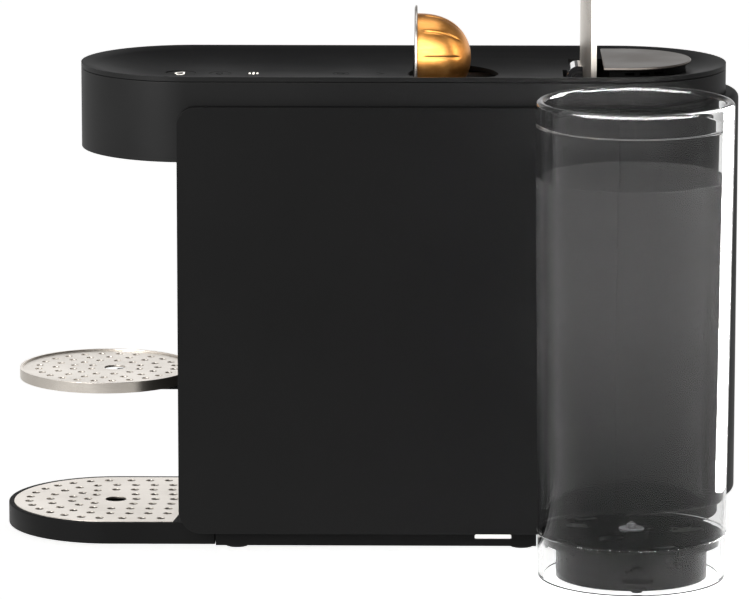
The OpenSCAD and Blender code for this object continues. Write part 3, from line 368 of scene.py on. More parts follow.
def arc(centre: Point, across: float, along: float, start: float, end: float, steps: int) -> list[Point]:
    """Points along part of an ellipse with two radii, from one angle in degrees to another."""
    angles = [math.radians(start + (end - start) * i / steps) for i in range(steps + 1)]
    return [(centre[0] + across * math.cos(a), centre[1] + along * math.sin(a)) for a in angles]


class Piece:
    """One mesh piece, drawn in millimetres in a bmesh of its own."""

    # Points of a solid, and of a turned shape, that lie closer than this are one
    MERGE = 0.004
    WELD = 0.0005
    # Faces of a solid that meet at less than this angle in degrees are one
    FLAT = 0.2
    # Smallest angle in degrees between two faces that makes a hard edge
    SHARP = 32.0

    def __init__(self, name: str) -> None:
        """Starts an empty piece with the name that its object will have."""
        self.name = name
        self.mesh = bmesh.new()

    @classmethod
    def from_solid(cls, node: str) -> "Piece":
        """Copies a solid of the frame, merged and with its flat faces joined up.

        Args:
            node: The solid's name.

        Returns:
            The new piece.
        """
        made = cls(f"{node}_skin")
        made.mesh.from_mesh(frame["nodes"][node].data)
        bmesh.ops.scale(made.mesh, vec=(1.0 / MM,) * 3, verts=made.mesh.verts)
        bmesh.ops.remove_doubles(made.mesh, verts=made.mesh.verts, dist=cls.MERGE)
        bmesh.ops.dissolve_limit(made.mesh, angle_limit=math.radians(cls.FLAT), verts=made.mesh.verts,
                                 edges=made.mesh.edges)
        return made

    def lathe(self, profile: Sequence[Point], steps: int, centre: Vector = Vector(),
              axis: Vector = UP) -> None:
        """Turns a profile into a round shape.

        Args:
            profile: Radius and place along the axis of each point, in order.
            steps: How many steps make the full turn.
            centre: Where the axis starts.
            axis: The direction of the axis.
        """
        before = set(self.mesh.verts)
        made = [self.mesh.verts.new((r, 0.0, h)) for r, h in profile]
        edges = [self.mesh.edges.new(pair) for pair in zip(made, made[1:])]
        bmesh.ops.spin(self.mesh, geom=made + edges, cent=(0.0, 0.0, 0.0), axis=UP,
                       angle=TURN, steps=steps, use_merge=True, use_normal_flip=False)
        turned = [v for v in self.mesh.verts if v not in before]
        bmesh.ops.remove_doubles(self.mesh, verts=turned, dist=self.WELD)
        turned = [v for v in self.mesh.verts if v not in before]
        aim = UP.rotation_difference(axis).to_matrix().to_4x4()
        bmesh.ops.transform(self.mesh, matrix=Matrix.Translation(centre) @ aim, verts=turned)

    def sheet(self, points: Sequence[Point], z: float, height: float) -> None:
        """Draws a flat outline and raises it into a thin plate.

        Args:
            points: The outline's corners in order, seen from above.
            z: Height of the plate's underside.
            height: Thickness of the plate.
        """
        corners = [self.mesh.verts.new((x, y, z)) for x, y in points]
        face = self.mesh.faces.new(corners)
        grown = bmesh.ops.extrude_face_region(self.mesh, geom=[face])
        top = [g for g in grown["geom"] if isinstance(g, bmesh.types.BMVert)]
        bmesh.ops.translate(self.mesh, vec=(0.0, 0.0, height), verts=top)

    def soften(self, width: float, segments: int, where: Callable[[Vector], bool] | None = None) -> None:
        """Rounds the hard edges.

        Args:
            width: How wide the rounding is.
            segments: Faces across the rounding.
            where: Says from an edge's middle whether it is rounded.
        """
        limit = math.radians(self.SHARP)
        edges = [e for e in self.mesh.edges if len(e.link_faces) == 2 and e.calc_face_angle() > limit
                 and (where is None or where((e.verts[0].co + e.verts[1].co) / 2.0))]
        bmesh.ops.bevel(self.mesh, geom=edges, offset=width, offset_type="OFFSET", segments=segments,
                        profile=0.5, affect="EDGES", clamp_overlap=True, material=-1, loop_slide=True)

    def finish(self, body: str, finish: Finish, stands_for: Sequence[str] = (), outward: bool = False,
               crease: float = 50.0, accents: Sequence[Accent] = ()) -> Object:
        """Turns the drawing into an object that rides on a body and wears a finish.

        Args:
            body: The body that carries the piece.
            finish: What it wears.
            stands_for: Solids that this piece replaces.
            outward: Whether the faces are turned outwards first.
            crease: Angle in degrees over which an edge stays sharp.
            accents: Finishes of some faces, each with what picks its faces.

        Returns:
            The finished object.
        """
        if outward:
            bmesh.ops.recalc_face_normals(self.mesh, faces=self.mesh.faces)
        self.mesh.normal_update()
        worn = [next((number for number, (_, picks) in enumerate(accents, 1) if picks(face)), 0)
                for face in self.mesh.faces]
        bmesh.ops.scale(self.mesh, vec=(MM, MM, MM), verts=self.mesh.verts)
        for face in self.mesh.faces:
            face.smooth = True
        for edge in self.mesh.edges:
            edge.smooth = len(edge.link_faces) == 2 and edge.calc_face_angle() < math.radians(crease)
        data = bpy.data.meshes.new(self.name)
        self.mesh.to_mesh(data)
        self.mesh.free()
        data.materials.clear()
        for layer in (finish, *(accent for accent, _ in accents)):
            data.materials.append(layer.material())
        for polygon, number in zip(data.polygons, worn):
            polygon.material_index = number
        made = bpy.data.objects.new(self.name, data)
        bpy.context.scene.collection.objects.link(made)
        evened = made.modifiers.new("even_shading", "WEIGHTED_NORMAL")
        evened.keep_sharp = True
        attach(made, body)
        if stands_for:
            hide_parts(*stands_for)
        return made


# Sub-assemblies


@dataclass(frozen=True)
class Skin:
    """How one solid is dressed: the body it rides on, its finish, and its rounding in millimetres."""

    node: str
    body: str
    finish: Finish
    width: float
    segments: int = 2


@dataclass
class Assembly:
    """A group of pieces that are built and dressed together."""

    skins: tuple[Skin, ...] = ()
    made: list[Object] = field(default_factory=list, init=False)

    def dress(self, node: str, body: str, finish: Finish, width: float, segments: int = 2,
              where: Callable[[Vector], bool] | None = None, accents: Sequence[Accent] = ()) -> None:
        """Copies a solid, softens its edges and gives it a finish.

        Args:
            node: The solid's name.
            body: The body that it rides on.
            finish: What it wears.
            width: Width of the rounding in millimetres, or 0 for none.
            segments: Faces across the rounding.
            where: Says from an edge's middle whether it is rounded.
            accents: Finishes of some faces, each with what picks its faces.
        """
        piece = Piece.from_solid(node)
        if width > 0.0:
            piece.soften(width, segments, where)
        self.made.append(piece.finish(body, finish, [node], accents=accents))

    def build(self) -> None:
        """Dresses every solid that the sub-assembly lists."""
        for skin in self.skins:
            self.dress(skin.node, skin.body, skin.finish, skin.width, skin.segments)

    def report(self) -> None:
        """Logs the name and the number of faces of each piece."""
        for piece in self.made:
            LOG.info("%s: %s, %d faces", type(self).__name__, piece.name, len(piece.data.polygons))


@dataclass
class Housing(Assembly):
    """Head, top cover, side covers, rear cover and the front frame.

    Faces whose normal rises less than upright are the sides of the top cover. Edges within seam_clear
    of the joint between the covers stay sharp.
    """

    edge: float = 0.5
    cover_edge: float = 1.1
    rim_edge: float = 0.35
    spine_edge: float = 0.3
    upright: float = 0.6
    seam_clear: float = 3.5

    def build(self) -> None:
        """Dresses the outer shell."""
        self.dress("head_shell", "machine", SATIN_ABS, self.edge, 3)
        self.dress("top_cover", "machine", DISH_ABS, self.rim_edge,
                   accents=[(SATIN_ABS, lambda face: abs(face.normal.z) < self.upright)])
        for node in ("cover_near", "cover_far"):
            self.dress(node, "machine", MATT_PAINT, self.cover_edge, 3, lambda at: at.x < -self.seam_clear)
        self.dress("cover_rear", "machine", MATT_PAINT, self.edge, where=lambda at: at.x > self.seam_clear)
        self.dress("front_frame", "machine", SATIN_ABS, self.edge)
        self.dress("bin_front", "bin", SATIN_ABS, self.edge)
        self.dress("pod_bin", "bin", DARK_ABS, self.edge)
        self.dress("spine", "machine", DARK_ABS, self.spine_edge)


@dataclass
class Plinth(Assembly):
    """Base pan, swivel post and feet."""

    skins: tuple[Skin, ...] = (
        # The base pan wears the darkest black: painted shade against the floor's glow
        Skin("base_pan", "machine", DARK_ABS, 0.5),
        Skin("swivel_post", "machine", GREY_NYLON, 0.3),
        # The notch insert's glow is painted light
        Skin("notch_insert", "machine", WHITE_INSERT, 0.3),
        *(Skin(f"foot_{number}", "machine", RUBBER, 0.3) for number in range(1, 6)),
    )


@dataclass
class DripTray(Assembly):
    """Drip tray with its steel grid."""

    skins: tuple[Skin, ...] = (
        # The tray wears the darkest black: painted shade against the floor's glow
        Skin("tray", "tray", DARK_ABS, 0.7, 3),
        Skin("tray_feet", "tray", RUBBER, 0.25),
        Skin("grid", "grid", STEEL_ALONG, 0.22),
    )


@dataclass
class CupSupport(Assembly):
    """Steel cup support with its bracket and magnets."""

    skins: tuple[Skin, ...] = (
        Skin("cup_disc", "cup_support", STEEL_ALONG, 0.22),
        Skin("cup_bracket", "cup_support", DARK_ABS, 0.5),
        Skin("cup_magnets", "cup_support", ZINC, 0.2),
    )


@dataclass
class LeverUnit(Assembly):
    """Lever, its axle and bracket, and the plate behind it.

    The barrel's faces lie ahead of barrel_x. Those that also look up, and ahead by more than shine_x,
    wear a painted highlight: a bright chrome crescent where the light falls.
    """

    sheet_edge: float = 0.6
    bracket_edge: float = 0.4
    edge: float = 0.3
    barrel_x: float = -20.9
    shine_x: float = -0.35

    def build(self) -> None:
        """Dresses the lever and what carries it."""
        # The barrel's faces that look up and ahead wear chrome as a painted highlight, and the rest of it a
        # near-black steel
        self.dress("lever", "lever", STEEL_LEVER, self.sheet_edge, 3,
                   accents=[(PAINTED_GLINT_CHROME, self._on_painted_glint), (BLACK_STEEL, self._on_barrel)])
        self.dress("lever_axle", "machine", BLACK_STEEL, self.edge)
        self.dress("lever_bracket", "machine", DARK_ABS, self.bracket_edge)
        self.dress("rear_plate", "machine", TAUPE_PLATE, self.sheet_edge, 3)
        self.dress("plate_carrier", "machine", DARK_ABS, self.edge)

    def _on_barrel(self, face: bmesh.types.BMFace) -> bool:
        """Whether a face of the lever belongs to the barrel round its axle."""
        return face.calc_center_median().x < self.barrel_x

    def _on_painted_glint(self, face: bmesh.types.BMFace) -> bool:
        """Whether a face of the barrel is in its painted highlight, the bright crescent that looks up and ahead."""
        return self._on_barrel(face) and face.normal.x < self.shine_x and face.normal.z > 0.0


@dataclass
class Pod(Assembly):
    """Pod with pressed grooves, a rolled rim and a foil lid, standing in the chute."""

    rim_x: float = -109.0
    axis_z: float = 261.2
    rim_r: float = 28.4
    rim_t: float = 1.4
    rim_steps: int = 180
    dome_r: float = 23.9
    dome_steps: int = 360
    dome_rings: int = 44
    depth: float = 29.2
    wall: float = 0.5
    # Powers that set how full the dome is, and how its rings crowd towards the tip
    fullness: float = 2.4
    crowding: float = 1.7
    foil_t: float = 0.4
    lid_steps: int = 120
    # Share of the lid's radius and height of its skin there, from the middle out
    lid_swell: tuple[Point, ...] = ((0.0, 0.0), (0.5, 0.03), (0.8, 0.12), (0.84, 0.2), (0.97, 0.16))
    grooves: int = 10
    groove_first: float = -7.8
    groove_deep: float = 0.42
    groove_half: float = 0.75
    # Shares of the dome's depth between which the grooves run, and how fast they end there
    groove_from: float = 0.1
    groove_to: float = 0.8
    groove_fade: float = 18.0
    # No groove is pressed nearer to the axis than this
    groove_core: float = 6.0

    def radius(self, share: float) -> float:
        """Radius of the dome at a share of its depth."""
        return self.dome_r * math.sqrt(max(0.0, 1.0 - share**self.fullness))

    def _at_rim(self, x: float) -> Vector:
        """Place on the pod's axis."""
        return Vector((x, 0.0, self.axis_z))

    def build(self) -> None:
        """Models the dome, the rim and the lid."""
        self._dome()
        self._rim()
        self._lid()

    def _dome(self) -> None:
        """Spins the dome and presses its grooves in."""
        piece = Piece("pod_dome")
        shares = [1.0 - (1.0 - i / self.dome_rings) ** self.crowding for i in range(self.dome_rings + 1)]
        outer = [(self.radius(s), s * self.depth) for s in shares]
        outer[-1] = (0.0, self.depth)
        # A quarter of the rings is enough inside, where no groove shows
        inner = [(max(r - self.wall, 0.0), min(h, self.depth - self.wall)) for r, h in outer[::4]]
        inner[-1] = (0.0, self.depth - self.wall)
        piece.lathe(inner[::-1] + outer, self.dome_steps)
        for vert in piece.mesh.verts:
            self._press(vert)
        turn = Matrix.Rotation(math.radians(90.0), 4, "Y") @ Matrix.Rotation(math.radians(-90.0), 4, "Z")
        place = Matrix.Translation(self._at_rim(self.rim_x + self.rim_t / 2.0))
        bmesh.ops.transform(piece.mesh, matrix=place @ turn, verts=piece.mesh.verts)
        self.made.append(piece.finish("pod", COPPER_FOIL, ["pod_shell"], outward=True, crease=60.0))

    def _press(self, vert: bmesh.types.BMVert) -> None:
        """Moves a point of the dome's skin towards its axis where a groove runs.

        Args:
            vert: The point, before the dome is turned to its place.
        """
        radius = math.hypot(vert.co.x, vert.co.y)
        share = vert.co.z / self.depth
        if radius < self.groove_core or radius < self.radius(share) - self.wall / 2.0:
            return
        pitch = TURN / self.grooves
        angle = math.atan2(vert.co.y, vert.co.x) - math.radians(self.groove_first)
        off = abs((angle + pitch / 2.0) % pitch - pitch / 2.0) * radius
        starts = min(1.0, max(0.0, (share - self.groove_from) * self.groove_fade))
        ends = min(1.0, max(0.0, (self.groove_to - share) * self.groove_fade))
        press = self.groove_deep * math.exp(-((off / self.groove_half) ** 2)) * (starts * ends)
        vert.co.x *= 1.0 - press / radius
        vert.co.y *= 1.0 - press / radius

    def _rim(self) -> None:
        """Spins the flat rim with its rolled edge."""
        piece = Piece("pod_rim")
        half = self.rim_t / 2.0
        # Heights of the sheet's underside and top, and of the neck where the dome begins
        low, top, neck = 0.1, 0.6, 0.95
        inside, rolled = self.dome_r - 0.8, self.rim_r - 2.0
        bead = arc((self.rim_r - half, half), half, half, -90.0, 90.0, 8)
        profile = [(inside, neck), (inside, low), (rolled, low)] + bead
        profile += [(rolled, top), (self.dome_r + 1.5, top), (self.dome_r + 0.2, neck), (inside, neck)]
        piece.lathe(profile, self.rim_steps, self._at_rim(self.rim_x - half), ALONG)
        self.made.append(piece.finish("pod", BARE_FOIL, outward=True))

    def _lid(self) -> None:
        """Spins the foil lid, slightly domed, with a sealed band round it."""
        piece = Piece("pod_lid")
        radius = self.rim_r - 1.0
        face = [(radius * share, height) for share, height in self.lid_swell]
        edge = [(radius, self.foil_t * 0.7), (radius - 0.2, self.foil_t), (0.0, self.foil_t)]
        piece.lathe(face + edge, self.lid_steps, self._at_rim(self.rim_x - self.rim_t / 2.0 - self.foil_t), ALONG)
        self.made.append(piece.finish("pod", BARE_FOIL, ["pod_foil"], outward=True))


@dataclass
class BrewUnit(Assembly):
    """Brew chamber, piston, gate and the duct to the nozzle."""

    skins: tuple[Skin, ...] = (
        Skin("brew_chamber", "machine", GREY_NYLON, 0.5),
        Skin("water_needle", "machine", BRASS, 0.25),
        Skin("outlet_duct", "machine", DARK_ABS, 0.3),
        Skin("coffee_nozzle", "machine", SMOOTH_ABS, 0.5, 3),
        Skin("piston", "piston", ZINC, 0.3),
        Skin("piston_seal", "piston", SILICONE, 0.2),
        Skin("drop_gate", "gate", ZINC, 0.3),
    )


@dataclass
class WaterAndPower(Assembly):
    """Pump, heater, flow meter, board, inlet and small hardware, and hoses with no edge to soften."""

    skins: tuple[Skin, ...] = (
        Skin("pump", "machine", ZINC, 0.6),
        Skin("heater", "machine", CAST_ALUMINIUM, 0.5),
        Skin("flow_meter", "machine", MILKY, 0.4),
        Skin("control_board", "machine", CIRCUIT_GREEN, 0.15),
        Skin("power_inlet", "machine", DARK_ABS, 0.4),
        Skin("magnet_rail", "machine", ZINC, 0.2),
        Skin("screws", "machine", ZINC, 0.2),
        *(Skin(f"hose_{use}", "machine", MILKY, 0.0) for use in ("suction", "pressure", "brew")),
    )


@dataclass
class Buttons(Assembly):
    """Three flush buttons, the lens between them and their inlaid icons."""

    top_z: float = 252.0
    edge: float = 0.25
    lens_edge: float = 0.2
    brew_x: float = -237.6
    size_x: float = -216.2
    lens_x: float = -197.9
    power_x: float = -150.1
    arrow_x: float = -128.8
    # Height of the ink over the button, its depth below, and how much each next stroke is thicker,
    # so that no two strokes share a plane
    ink: float = 0.05
    ink_deep: float = 0.1
    ink_step: float = 0.0006
    arc_steps: int = 14
    # A stroke runs past its ends by this share of its width
    overrun: float = 0.25
    small_cup: float = 0.7
    cup_line: float = 0.9
    handle_thin: float = 0.8
    mark_pitch: float = 2.1
    mark_halves: Place = (2.2, 3.8, 2.2)
    mark_line: float = 1.1
    ring_r: float = 2.0
    ring_gap: float = 40.0
    ring_line: float = 0.6
    bar: Point = (0.6, 2.6)
    arrow_half: Point = (1.8, 4.5)
    arrow_line: float = 0.8

    def build(self) -> None:
        """Dresses the buttons and lays their icons in."""
        for name in ("brew", "size", "power"):
            self.dress(f"{name}_button", f"{name}_key", DISH_ABS, self.edge)
        self.dress("indicator_lens", "machine", DISH_ABS, self.lens_edge)
        self._icon("brew_icon", "brew_key", LIT_INK, self._cup(self.brew_x, 1.0))
        self._icon("size_icon", "size_key", GREY_INK, self._cup(self.size_x, self.small_cup))
        self._icon("lens_icon", "machine", LIT_INK, self._marks(self.lens_x))
        self._icon("power_icon", "power_key", GREY_INK, self._switch(self.power_x))
        self._icon("arrow_icon", "machine", GREY_INK, self._arrow(self.arrow_x))

    def _stroke(self, points: Sequence[Point], width: float) -> list[list[Point]]:
        """Turns a line into short four-cornered strokes.

        Args:
            points: The line's points.
            width: Width of the line.

        Returns:
            One outline for each stretch of the line.
        """
        outlines = []
        for a, b in zip(points, points[1:]):
            along = Vector((b[0] - a[0], b[1] - a[1])).normalized()
            side = Vector((-along.y, along.x)) * width / 2.0
            reach = along * width * self.overrun
            corners = (Vector(a) - reach - side, Vector(b) + reach - side, Vector(b) + reach + side,
                       Vector(a) - reach + side)
            outlines.append([(c.x, c.y) for c in corners])
        return outlines

    def _cup(self, x: float, scale: float) -> list[list[Point]]:
        """Draws a cup with a handle, its open side to the rear.

        Args:
            x: Place of its middle.
            scale: Its size, which is 1 for the large cup.

        Returns:
            Its strokes.
        """
        brim_x, half = x + 1.6 * scale, 3.9 * scale
        bowl = arc((brim_x, 0.0), 4.6 * scale, half, 90.0, 270.0, self.arc_steps)
        handle = arc((x - 0.6 * scale, -4.3 * scale), 1.5 * scale, 1.4 * scale, 20.0, -200.0, self.arc_steps)
        width = self.cup_line * scale
        return (self._stroke(bowl, width) + self._stroke([(brim_x, half), (brim_x, -half)], width)
                + self._stroke(handle, width * self.handle_thin))

    def _marks(self, x: float) -> list[list[Point]]:
        """Strokes of three short marks side by side."""
        places = (x - self.mark_pitch, x, x + self.mark_pitch)
        return [outline for at, half in zip(places, self.mark_halves)
                for outline in self._stroke([(at, -half), (at, half)], self.mark_line)]

    def _switch(self, x: float) -> list[list[Point]]:
        """Strokes of a broken ring with a bar."""
        ring = arc((x, 0.0), self.ring_r, self.ring_r, self.ring_gap, 360.0 - self.ring_gap, self.arc_steps)
        return self._stroke(ring, self.ring_line) + self._stroke([(x + at, 0.0) for at in self.bar], self.ring_line)

    def _arrow(self, x: float) -> list[list[Point]]:
        """Strokes of a chevron that points to the chute."""
        reach, half = self.arrow_half
        return self._stroke([(x - reach, half), (x + reach, 0.0), (x - reach, -half)], self.arrow_line)

    def _icon(self, name: str, body: str, finish: Finish, strokes: Sequence[Sequence[Point]]) -> None:
        """Raises strokes into thin inlaid ink.

        Args:
            name: The piece's name.
            body: The body that carries it.
            finish: The ink.
            strokes: One outline for each stretch.
        """
        piece = Piece(name)
        for number, outline in enumerate(strokes):
            piece.sheet(outline, self.top_z - self.ink_deep, self.ink + self.ink_deep + self.ink_step * number)
        self.made.append(piece.finish(body, finish, outward=True, crease=30.0))


@dataclass
class Tank(Assembly):
    """Clear tank with its floor, valve and the water in it."""

    reach: float = 122.468
    angle: float = -87.0
    low_r: float = 49.8
    top_r: float = 52.5
    wall: float = 3.0
    # Heights at which the wall has a ring of points
    wall_z: tuple[float, ...] = (60.0, 120.0, 180.0, 230.0)
    low_z: float = 1.0
    ledge_z: float = 243.0
    # The ledge under the thick rim, as steps in radius and height from where the wall ends
    ledge: tuple[Point, ...] = ((-0.8, 0.3), (-0.25, 0.1), (0.0, -0.6))
    floor_z: float = 24.0
    floor_edge: float = 0.3
    valve_edge: float = 0.4
    rim_wall: float = 5.2
    rim_h: float = 13.0
    rim_top_z: float = 256.5
    rim_round: float = 2.6
    rim_low_round: float = 0.8
    foot_round: float = 0.5
    bead_z: float = 25.0
    bead_r: float = 0.45
    notch_z: float = 9.6
    notch_steps: int = 11
    steps: int = 144
    water_z: float = 215.5
    water_steps: int = 128
    # How far the water reaches into the wall, so that no air is left between them
    bite: float = 0.25
    # The water's curved edge, as steps in radius and height from where its level meets the wall
    meniscus: tuple[Point, ...] = ((0.0, 0.5), (-0.8, 0.12), (-2.2, 0.0))
    ribs: tuple[tuple[str, float], ...] = (("far_left", 96.0), ("far_right", 89.5), ("near", 268.5), ("left", 190.0))
    rib_size: Place = (0.6, 0.35, 10.5)
    rib_round: float = 0.08
    rib_in: float = 0.1
    rib_down: float = 7.3

    @property
    def centre(self) -> Point:
        """Where the tank's axis meets the ground."""
        angle = math.radians(self.angle)
        return (self.reach * math.cos(angle), self.reach * math.sin(angle))

    def inner_r(self, z: float) -> float:
        """Radius of the tank's inner wall at a height."""
        share = (z - self.low_z) / (self.ledge_z - self.low_z)
        return self.low_r - self.wall + (self.top_r - self.low_r) * share

    def outer_r(self, z: float) -> float:
        """Radius of the tank's outer wall at a height."""
        slope = (self.top_r - self.low_r) / (self.rim_top_z - self.rim_round - self.low_z)
        return self.low_r + slope * (z - self.low_z)

    def build(self) -> None:
        """Dresses the tank and pours the water in."""
        self._shell()
        self.dress("tank_floor", "tank", SMOOTH_ABS, self.floor_edge)
        self.dress("tank_valve", "valve", GREY_NYLON, self.valve_edge, 3)
        self._water()
        self._ribs()

    def _shell(self) -> None:
        """Spins the wall with its thick rim, and cuts the notch for the arm out of its foot."""
        piece = Piece("tank_wall")
        top, turn = self.rim_top_z - self.rim_round, self.rim_round
        foot, under = self.foot_round, self.rim_low_round
        low = self.low_z + foot
        rim_in, wall_in = self.top_r - self.rim_wall, self.top_r - self.wall

        def corner(r: float, z: float, radius: float, start: float, end: float) -> list[Point]:
            """Points of a rounded corner round (r, z), from one angle in degrees to another."""
            return arc((r, z), radius, radius, start, end, 6)

        profile = corner(self.low_r - foot, low, foot, -90.0, 0.0)
        profile += [(self.outer_r(self.notch_z), self.notch_z)]
        profile += arc((self.outer_r(self.bead_z), self.bead_z), self.bead_r, self.bead_r, -90.0, 90.0, 8)
        profile += [(self.outer_r(z), z) for z in self.wall_z]
        profile += corner(self.top_r - turn, top, turn, 0.0, 90.0)
        profile += corner(rim_in + turn, top, turn, 90.0, 180.0)
        profile += corner(rim_in + under, self.rim_top_z - self.rim_h + under, under, 180.0, 260.0)
        profile += [(wall_in + across, self.ledge_z + up) for across, up in self.ledge]
        profile += [(self.inner_r(z), z) for z in (*reversed(self.wall_z), self.notch_z)]
        profile += corner(self.low_r - self.wall + foot, low, foot, 180.0, 270.0)
        piece.lathe(profile + profile[:1], self.steps, Vector((*self.centre, 0.0)))
        self._notch(piece)
        self.made.append(piece.finish("tank", CLEAR_SAN, ["tank"], outward=True, crease=60.0))

    def _notch(self, piece: Piece) -> None:
        """Opens the foot on the side of the machine and closes the cut ends.

        Args:
            piece: The spun wall.
        """
        half = math.radians(360.0 / self.steps * self.notch_steps)
        inward = Vector((-self.centre[0], -self.centre[1])).normalized()
        gone = []
        for face in piece.mesh.faces:
            middle = face.calc_center_median()
            arm = Vector((middle.x - self.centre[0], middle.y - self.centre[1])).normalized()
            if middle.z < self.notch_z and arm.angle(inward) < half:
                gone.append(face)
        bmesh.ops.delete(piece.mesh, geom=gone, context="FACES")
        loose = [v for v in piece.mesh.verts if not v.link_faces]
        bmesh.ops.delete(piece.mesh, geom=loose, context="VERTS")
        # The two open loops of the cut wall lie on its outer and on its inner side
        middle_r = self.low_r - self.wall / 2.0
        rims: list[list[bmesh.types.BMEdge]] = [[], []]
        for edge in piece.mesh.edges:
            if len(edge.link_faces) != 1:
                continue
            spans = [math.hypot(v.co.x - self.centre[0], v.co.y - self.centre[1]) - middle_r for v in edge.verts]
            if spans[0] * spans[1] > 0.0:
                rims[spans[0] > 0.0].append(edge)
        bmesh.ops.bridge_loops(piece.mesh, edges=rims[0] + rims[1])

    def _water(self) -> None:
        """Spins the water, which rises a little where it meets the wall."""
        piece = Piece("water")
        edge, low = self.inner_r(self.water_z) + self.bite, self.floor_z - 0.1
        foot = [(0.0, low), (self.inner_r(low) - 0.3, low), (self.inner_r(low) + self.bite, low + 0.6)]
        top = [(edge + across, self.water_z + up) for across, up in self.meniscus] + [(0.0, self.water_z)]
        piece.lathe(foot + top, self.water_steps, Vector((*self.centre, 0.0)))
        self.made.append(piece.finish("tank", WATER, outward=True, crease=60.0))

    def _ribs(self) -> None:
        """Draws the fine upright ribs inside the thick rim."""
        inside = (self.top_r - self.rim_wall - self.rib_in, 0.0, self.rim_top_z - self.rib_down)
        for name, angle in self.ribs:
            piece = Piece(f"tank_rib_{name}")
            bmesh.ops.create_cube(piece.mesh, size=1.0)
            bmesh.ops.scale(piece.mesh, vec=self.rib_size, verts=piece.mesh.verts)
            bmesh.ops.bevel(piece.mesh, geom=list(piece.mesh.edges), offset=self.rib_round, segments=2,
                            profile=0.5, affect="EDGES", clamp_overlap=True, material=-1)
            place = Matrix.Translation((*self.centre, 0.0)) @ Matrix.Rotation(math.radians(angle), 4, "Z")
            bmesh.ops.transform(piece.mesh, matrix=place @ Matrix.Translation(inside), verts=piece.mesh.verts)
            self.made.append(piece.finish("tank", CLEAR_SAN, outward=True))


@dataclass
class Dock(Assembly):
    """Swivel arm with the dock, its spigot, foot and latch."""

    skins: tuple[Skin, ...] = (
        Skin("tank_arm", "arm", SMOOTH_ABS, 0.5),
        Skin("dock", "arm", SMOOTH_ABS, 0.4, 3),
        Skin("dock_foot", "arm", RUBBER, 0.3),
        Skin("dock_spigot", "arm", GREY_NYLON, 0.3),
        Skin("latch_button", "latch", SMOOTH_ABS, 0.6, 3),
    )


# Studio


@dataclass(frozen=True)
class Softbox:
    """One soft rectangular light. Its places and sizes are in metres and its power is in watts."""

    name: str
    place: Place
    aim: Place
    size: Point
    power: float


# The room's lights, which shine on everything but the floor
ROOM = (
    Softbox("softbox_left", (-2.2, -0.7, 1.1), (-0.2, 0.0, 0.2), (1.2, 1.4), 9.0),
    Softbox("softbox_top", (-0.2, 0.5, 2.4), (-0.1, 0.0, 0.2), (2.0, 1.4), 16.0),
    Softbox("softbox_front", (-0.6, -1.5, 2.0), (-0.1, 0.0, 0.2), (1.4, 1.0), 13.0),
    Softbox("softbox_near", (-0.75, -0.75, 0.5), (-0.25, -0.06, 0.2), (0.5, 0.5), 8.0),
)
# A wide bright box overhead draws the tank's rims, and a strip its right edge
ON_TANK = (
    Softbox("softbox_rim", (0.0, -0.9, 1.35), (0.0, -0.1, 0.25), (5.0, 1.9), 2800.0),
    Softbox("strip_right", (0.192, 0.022, 0.3), (0.05, -0.1, 0.3), (0.15, 0.6), 16.0),
)
# Upright bright pieces mirror a box that stands low in front, and one at the left
ON_METAL = (
    Softbox("softbox_metal", (-0.2, -0.95, 0.62), (-0.1, 0.0, 0.3), (2.6, 1.25), 38.0),
    Softbox("softbox_side", (-1.2, 0.3, 0.35), (-0.03, 0.0, 0.27), (1.2, 0.7), 4.0),
)
# Level plates mirror a box low behind them
ON_STEEL = (Softbox("softbox_back", (-0.3, 1.6, 0.42), (-0.3, 0.0, 0.1), (2.0, 0.7), 3.4),)


